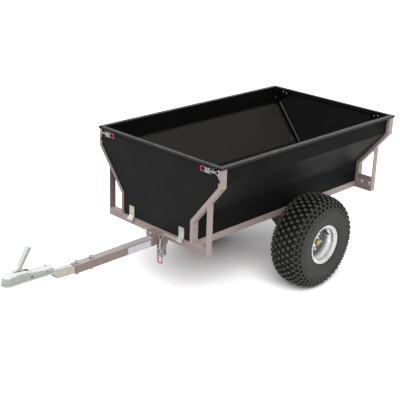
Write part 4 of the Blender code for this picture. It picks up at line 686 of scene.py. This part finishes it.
def make_rim(hand, side, silver, dark):
    """The steel rim with its rolled lip, drop centre and dark disc."""
    outer = [(0.1180, 0.0955), (0.1178, 0.0985), (0.1162, 0.1000), (0.1140, 0.0998),
             (0.1122, 0.0975), (0.1112, 0.0940), (0.1035, 0.0900), (0.1022, 0.0840),
             (0.1015, 0.0680), (0.0990, 0.0640), (0.0905, 0.0540), (0.0884, 0.0500),
             (0.0880, 0.0440)]
    inner = []
    for radius, offset in outer[4:]:
        inner.append((radius - RIM_SHEET, offset + (0.0018 if radius < 0.10 else 0.0)))
    profile = outer + [(radius, -offset) for radius, offset in reversed(outer)]
    profile += [(radius, -offset) for radius, offset in inner]
    profile += [(radius, offset) for radius, offset in reversed(inner)]
    centre = (WHEEL_X, side * WHEEL_Y, WHEEL_Z)
    rim = build(f"rim_{hand}_barrel", turned(profile, 1, (0, 0, 0), RIM_STEPS), silver,
                f"wheel_{hand}", smooth=40)
    rim.location = centre
    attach(rim, f"wheel_{hand}")
    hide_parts(f"wheel_rim_{hand}")
    disc = [(0.0855, 0.0240), (0.0855, 0.0340), (0.0835, 0.0345), (0.0805, 0.0330),
            (0.0760, 0.0312), (0.0640, 0.0312), (0.0615, 0.0305), (0.0360, 0.0305),
            (0.0345, 0.0290), (0.0345, 0.0272), (0.0760, 0.0270), (0.0800, 0.0250)]
    disc = [(radius, side * offset) for radius, offset in disc]
    plate = build(f"rim_{hand}_disc", turned(disc, 1, (0, 0, 0), RIM_STEPS), dark, f"wheel_{hand}",
                  smooth=40)
    plate.location = centre
    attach(plate, f"wheel_{hand}")


STUDS = 4
STUD_CIRCLE = 0.045
STUD_TURN = 15


def hexagon(radius, low, high, centre):
    """A nut along Y whose face has rounded corners."""
    middle = high - 0.12 * radius * (1 if high > low else -1)
    profile = [(0, low), (radius, low), (radius, middle), (0.88 * radius, high), (0, high)]
    return turned(profile, 1, centre, 6)


def make_hub(hand, side, brass, steel):
    """The turned hub, with its yellow cap in front of the flange, and the four wheel nuts."""
    flange = [(0, 0.0340), (0.0305, 0.0340), (0.0335, 0.0325), (0.0337, 0.0268),
              (0.0580, 0.0266), (0.0580, 0.0207), (0.0330, 0.0207), (0.0320, -0.0345),
              (0.0130, -0.0350), (0.0130, 0.0300), (0, 0.0300)]
    cap = [(0, 0.0580), (0.0120, 0.0580), (0.0150, 0.0566), (0.0172, 0.0535), (0.0176, 0.0490),
           (0.0176, 0.0390), (0.0205, 0.0380), (0.0212, 0.0343), (0, 0.0343)]
    nuts = []
    for step in range(STUDS):
        angle = 2 * math.pi * step / STUDS + math.radians(STUD_TURN)
        at = (STUD_CIRCLE * math.cos(angle), 0, STUD_CIRCLE * math.sin(angle))
        nuts.append(hexagon(0.0100, side * 0.0314, side * 0.0390, at))
        thread = [(0, 0.0385), (0.0052, 0.0385), (0.0052, 0.0440), (0.0044, 0.0450), (0, 0.0450)]
        nuts.append(turned([(r, side * y) for r, y in thread], 1, at, 16))
    pieces = ((f"hub_{hand}_flange", [mirrored_turn(flange, side)], steel),
              (f"hub_{hand}_cap", [mirrored_turn(cap, side)], brass),
              (f"hub_{hand}_nuts", nuts, steel))
    for name, shapes, material in pieces:
        item = build(name, joined(shapes), material, f"wheel_{hand}", smooth=40)
        item.location = (WHEEL_X, side * WHEEL_Y, WHEEL_Z)
        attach(item, f"wheel_{hand}")
        if name.endswith("flange"):
            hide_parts(f"hub_{hand}")


def mirrored_turn(profile, side):
    return turned([(radius, side * offset) for radius, offset in profile], 1, (0, 0, 0), 48)


VALVE_TURN = 138


def make_valve(hand, side, black):
    """The valve stem, which leans out of the drop centre."""
    turn = math.radians(VALVE_TURN)
    out = Vector((math.cos(turn), 0, math.sin(turn)))
    if side < 0:
        out.x = -out.x
    y = Vector((0, side, 0))
    root = out * 0.0850 + y * 0.0520
    path = [root, root - out * 0.006 + y * 0.004, root - out * 0.011 + y * 0.012,
            root - out * 0.014 + y * 0.024, root - out * 0.015 + y * 0.034]
    stem = tube(smoothed(path, steps=4), [0.0075] * 4 + [0.0060] * 4 + [0.0050] * 4
                + [0.0046] * 4 + [0.0046], 16)
    item = build(f"valve_{hand}", stem, black, f"wheel_{hand}", smooth=50)
    item.location = (WHEEL_X, side * WHEEL_Y, WHEEL_Z)
    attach(item, f"wheel_{hand}")


def grip_path(scale):
    """The middle line of a lever's wire grip, as offsets from its pivot: towards the catch,
    sideways and away from the sheet."""
    thick = 0.0018 * scale
    wide = 0.0118 * scale
    high = 0.006 * scale - 1.3 * thick
    start = -0.0455 * scale
    end = -0.069 * scale
    half = [(start, 0.0114 * scale, high), (end + 0.004 * scale, wide, high),
            (end, wide - 0.004 * scale, high)]
    return half + [(u, -v, w) for u, v, w in reversed(half)]


def make_grip(name, body, origin, towards, across, outwards, scale, red):
    """A red sleeve over the end of a latch lever's wire."""
    origin, u, v, w = (Vector(value) for value in (origin, towards, across, outwards))
    path = [origin + u * a + v * b + w * c for a, b, c in grip_path(scale)]
    fine = [path[0]]
    for before, here, after in zip(path, path[1:], path[2:]):
        fine += [here + (before - here) * 0.35 * (1 - t) ** 2 + (after - here) * 0.35 * t ** 2
                 for t in (0.0, 0.25, 0.5, 0.75, 1.0)]
    fine.append(path[-1])
    radius = 0.0031 * scale
    radii = [radius * 0.85] + [radius] * (len(fine) - 2) + [radius * 0.85]
    build(name, tube(fine, radii, 14), red, body, smooth=50)


# Places of the latch levers' pivots, before the shift in X
GATE_FACE_X = 0.752
LATCH_STANDOFF = 0.012
GATE_LATCH_Y = 0.410
GATE_LATCH_Z = 0.896
TIP_LATCH_SCALE = 1.35
TIP_LATCH_Y = 0.055
TIP_LATCH_Z = 0.434
TIP_LATCH_DROP = 0.0535


def make_grips(red):
    for end, face in zip(ENDS, (1, -1)):
        for hand, side in zip(HANDS, (1, -1)):
            origin = (face * (GATE_FACE_X + LATCH_STANDOFF) + SHIFT, side * GATE_LATCH_Y,
                      GATE_LATCH_Z)
            make_grip(f"{end}_grip_{hand}", f"{end}_latch_{hand}_lever_body", origin,
                      (0, side, 0), (0, 0, 1), (face, 0, 0), 1.0, red)
    scale = TIP_LATCH_SCALE
    origin = (GATE_FACE_X + LATCH_STANDOFF * scale + SHIFT, TIP_LATCH_Y,
              TIP_LATCH_Z - TIP_LATCH_DROP * scale)
    make_grip("tip_grip", "tip_latch_lever_body", origin, (0, 0, 1), (0, 1, 0), (1, 0, 0), scale,
              red)


DRAWBAR_HALF = 0.0230


def make_sign(white):
    """The blank sign on the drawbar's near side."""
    shape = box((0.8115 + SHIFT, DRAWBAR_HALF + 0.0001, 0.3665),
                (0.9740 + SHIFT, DRAWBAR_HALF + 0.0008, 0.4045))
    build("drawbar_sign", shape, white, "chassis", bevel=0.0003)


# Points of the rear corners, as (offset, height): bolts through the angle and its gusset
CORNER_BOLTS = ((0.414, 0.780), (0.276, 0.603), (0.440, 0.860), (0.350, 0.899), (0.378, 0.905))


def make_corner_angles(black, highlight_grey, steel):
    """The black angle inside each rear corner, with its folded edge drawn paler as a painted
    highlight, and its bolts.
    """
    outer = [(0.4530, 0.9050), (0.4530, 0.8120), (0.2640, 0.5775), (0.2640, 0.4650)]
    inner = [(0.4015, 0.9050), (0.4015, 0.8303), (0.2125, 0.5958), (0.2125, 0.4650)]
    back, front = -0.7350 + SHIFT, -0.7335 + SHIFT
    for hand, side in zip(HANDS, (1, -1)):
        outline = [(side * y, z) for y, z in outer + list(reversed(inner))]
        build(f"corner_angle_{hand}", prism(outline, back, front, 0), black, "box", smooth=20)
        gusset = [(0.4000, 0.9100), (0.4000, 0.8600), (0.3600, 0.8820), (0.3250, 0.8900),
                  (0.3250, 0.9100)]
        outline = [(side * y, z) for y, z in gusset]
        build(f"corner_gusset_{hand}", prism(outline, back, front, 0), black, "box", smooth=20)
        edge = [(front, side * y, z) for y, z in inner[1:3]]
        build(f"corner_edge_highlight_{hand}", tube(edge, 0.0046, 8), highlight_grey, "box")
        heads = []
        for y, z in CORNER_BOLTS:
            heads.append(turned([(0, front), (0.0048, front), (0.0040, front + 0.003),
                                 (0, front + 0.0042)], 0, (0, side * y, z), 12))
        build(f"corner_bolts_{hand}", joined(heads), steel, "box", smooth=50)


def make_post_bolts(paint):
    """Heads of the bolts that hold the posts' stays, in a paler copy of the post paint as a
    painted highlight.
    """
    for end, face in zip(ENDS, (1, -1)):
        for hand, side in zip(HANDS, (1, -1)):
            y = side * 0.2866
            head = [(0, y), (0.0068, y), (0.0064, y + side * 0.0035), (0.0036, y + side * 0.0050),
                    (0, y + side * 0.0053)]
            centre = (face * 0.738 + SHIFT, 0, 0.549)
            build(f"post_bolt_{end}_{hand}", turned(head, 1, centre, 20), paint, "box",
                  smooth=50)


def make_lit_wall_plate(steel):
    """A bright plate across the channel between the drawbar and the coupling: painted light
    standing in for the lit inside of the channel's far wall.
    """
    outline = [(1.3212 + SHIFT, 0.4062), (1.4494 + SHIFT, 0.4155), (1.4494 + SHIFT, 0.4172),
               (1.3212 + SHIFT, 0.4079)]
    build("channel_lit_wall_plate", prism(outline, -0.0163, 0.0115, 1), steel, "chassis", bevel=0.0004)


def make_handle_roll(cast):
    """The rolled end of the coupling's handle, on its underside."""
    profile = [(0, -0.0120), (0.0040, -0.0120), (0.0046, -0.0112), (0.0046, 0.0112),
               (0.0040, 0.0120), (0, 0.0120)]
    roll = turned(profile, 1, (1.5690 + SHIFT, 0, 0.5793), 20)
    build("handle_roll", roll, cast, "handle", smooth=50)


LOCK_X = 0.783 + SHIFT
LOCK_Z = 0.427
COIL_FAR = -0.0281
COIL_NEAR = 0.0021
COIL_RADIUS = 0.0075
COIL_WIRE = 0.0011
COIL_TURNS = 6
COIL_STEPS = 16


def make_lock_coil(steel):
    """The lock pin's spring, which shortens against the bracket's far leg as the pin is
    pulled."""
    count = COIL_TURNS * COIL_STEPS
    path = []
    for index in range(count + 1):
        angle = 2 * math.pi * index / COIL_STEPS
        path.append((LOCK_X + COIL_RADIUS * math.cos(angle),
                     COIL_FAR + (COIL_NEAR - COIL_FAR) * index / count,
                     LOCK_Z + COIL_RADIUS * math.sin(angle)))
    coil = build("lock_coil", tube(path, COIL_WIRE, 10), steel, "lock", smooth=60)
    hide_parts("lock_spring")
    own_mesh(coil)


# The coupling's holes: place along it, height, radius and offset of the side
COUPLING_HOLES = ((1.583, 0.4336, 0.0056, 0.0250), (1.491, 0.4332, 0.0039, 0.0242))


def make_hole_shadows(black):
    """Black discs inside the coupling's holes: painted shade."""
    discs = []
    for x, z, radius, y in COUPLING_HOLES:
        for side in (1, -1):
            discs.append(turned([(0, side * y), (radius, side * y), (radius, side * (y + 0.0006)),
                                 (0, side * (y + 0.0006))], 1, (x + SHIFT, 0, z), 16))
    build("coupling_hole_shade", joined(discs), black, "chassis")


def aim(item, back):
    """Turns an object so that its own Z points along back."""
    z = Vector(back).normalized()
    x = Vector((0, 0, 1)).cross(z).normalized()
    y = z.cross(x)
    item.rotation_euler = Matrix((x, y, z)).transposed().to_euler()


# The camera: its place, its turns in degrees, its focal length in widths of the picture and
# its shifts
CAMERA_PLACE = (3.25435, 3.2539, 2.3433)
CAMERA_TURNS = (134.28, 20.65, 1.88)
CAMERA_SENSOR = 36
CAMERA_FOCUS = 876.06 / 400
CAMERA_SHIFT = (-0.0059, -0.0245)
SUN_TOWARDS = (0.48, 0.42, 0.77)
SUN_STRENGTH = 2.30
SUN_SPREAD = 50
WORLD_LEVEL = 0.42
FLOOR_LEVEL = 0.60
FLOOR_SEEN_LEVEL = 1.95
FLOOR_HALF = 30


def make_camera():
    azimuth, elevation, roll = (math.radians(angle) for angle in CAMERA_TURNS)
    back = Vector((math.sin(azimuth) * math.cos(elevation),
                   -math.cos(azimuth) * math.cos(elevation), math.sin(elevation)))
    right = Vector((math.cos(azimuth), math.sin(azimuth), 0))
    up = back.cross(right)
    turned_right = math.cos(roll) * right + math.sin(roll) * up
    turned_up = math.cos(roll) * up - math.sin(roll) * right
    data = bpy.data.cameras.new("camera")
    data.sensor_width = CAMERA_SENSOR
    data.lens = CAMERA_FOCUS * CAMERA_SENSOR
    data.shift_x, data.shift_y = CAMERA_SHIFT
    data.clip_end = 200
    camera = bpy.data.objects.new("camera", data)
    bpy.context.scene.collection.objects.link(camera)
    camera.location = CAMERA_PLACE
    camera.rotation_euler = Matrix((turned_right, turned_up, back)).transposed().to_euler()
    bpy.context.scene.camera = camera


def make_sun():
    """A wide soft sun, which matt surfaces see. Glossy ones see the white studio instead."""
    data = bpy.data.lights.new("overhead", "SUN")
    data.energy = SUN_STRENGTH
    data.angle = math.radians(SUN_SPREAD)
    lamp = bpy.data.objects.new("overhead", data)
    bpy.context.scene.collection.objects.link(lamp)
    lamp.location = Vector(SUN_TOWARDS) * 5
    aim(lamp, SUN_TOWARDS)
    lamp.visible_glossy = False


def seen_directly(tree):
    """1 for rays that should see the white studio: camera, mirror and glass rays."""
    path = tree.nodes.new("ShaderNodeLightPath")
    total = path.outputs["Is Camera Ray"]
    for name in ("Is Glossy Ray", "Is Transmission Ray"):
        node = tree.nodes.new("ShaderNodeMath")
        node.operation = "MAXIMUM"
        tree.links.new(total, node.inputs[0])
        tree.links.new(path.outputs[name], node.inputs[1])
        total = node.outputs["Value"]
    return total


def make_world():
    world = bpy.data.worlds.new("studio")
    bpy.context.scene.world = world
    world.use_nodes = True
    tree = world.node_tree
    background = tree.nodes["Background"]
    background.inputs["Color"].default_value = (1, 1, 1, 1)
    strength = tree.nodes.new("ShaderNodeMapRange")
    strength.inputs["To Min"].default_value = WORLD_LEVEL
    strength.inputs["To Max"].default_value = 1.0
    tree.links.new(seen_directly(tree), strength.inputs["Value"])
    tree.links.new(strength.outputs["Result"], background.inputs["Strength"])


def make_floor():
    """A plain floor that looks white where no shadow falls."""
    half = FLOOR_HALF
    mesh = bpy.data.meshes.new("floor_plane")
    mesh.from_pydata([(-half, -half, 0), (half, -half, 0), (half, half, 0), (-half, half, 0)], [],
                     [(0, 1, 2, 3)])
    floor = bpy.data.objects.new("studio_floor", mesh)
    bpy.context.scene.collection.objects.link(floor)
    material = bpy.data.materials.new("studio_floor")
    material.use_nodes = True
    tree = material.node_tree
    shader = tree.nodes["Principled BSDF"]
    shader.inputs["Roughness"].default_value = 1.0
    shader.inputs["Specular IOR Level"].default_value = 0.0
    level = tree.nodes.new("ShaderNodeMapRange")
    level.inputs["To Min"].default_value = FLOOR_LEVEL
    level.inputs["To Max"].default_value = FLOOR_SEEN_LEVEL
    tree.links.new(seen_directly(tree), level.inputs["Value"])
    tree.links.new(level.outputs["Result"], shader.inputs["Base Color"])
    mesh.materials.append(material)


def main():
    silver, dark, brass = silver_paint(), disc_paint(), yellow_zinc()
    tyre, red, black = rubber(), red_plastic(), black_rubber()
    bright = zinc("bright_zinc", (0.80, 0.81, 0.80), (0.62, 0.63, 0.62), 0.30)
    dress_nodes(rim_grey(), zinc(), tan_zinc(), cast_zinc())
    for hand, side in zip(HANDS, (1, -1)):
        make_tyre(hand, side, tyre)
        make_rim(hand, side, silver, dark)
        make_hub(hand, side, brass, bright)
        make_valve(hand, side, black)
    make_grips(red)
    make_sign(white_sign())
    make_corner_angles(black_sheet("corner_black", 0.0025), edge_highlight_grey(), bright)
    # The bolts' paler paint is a painted highlight.
    make_post_bolts(frame_paint("bolt_highlight_paint", (0.62, 0.53, 0.51)))
    make_lock_coil(bright)
    make_hole_shadows(black)
    make_lit_wall_plate(bright)
    make_handle_roll(bright)
    make_floor()
    make_world()
    make_sun()
    make_camera()
    bpy.context.scene.view_settings.view_transform = "Standard"


main()
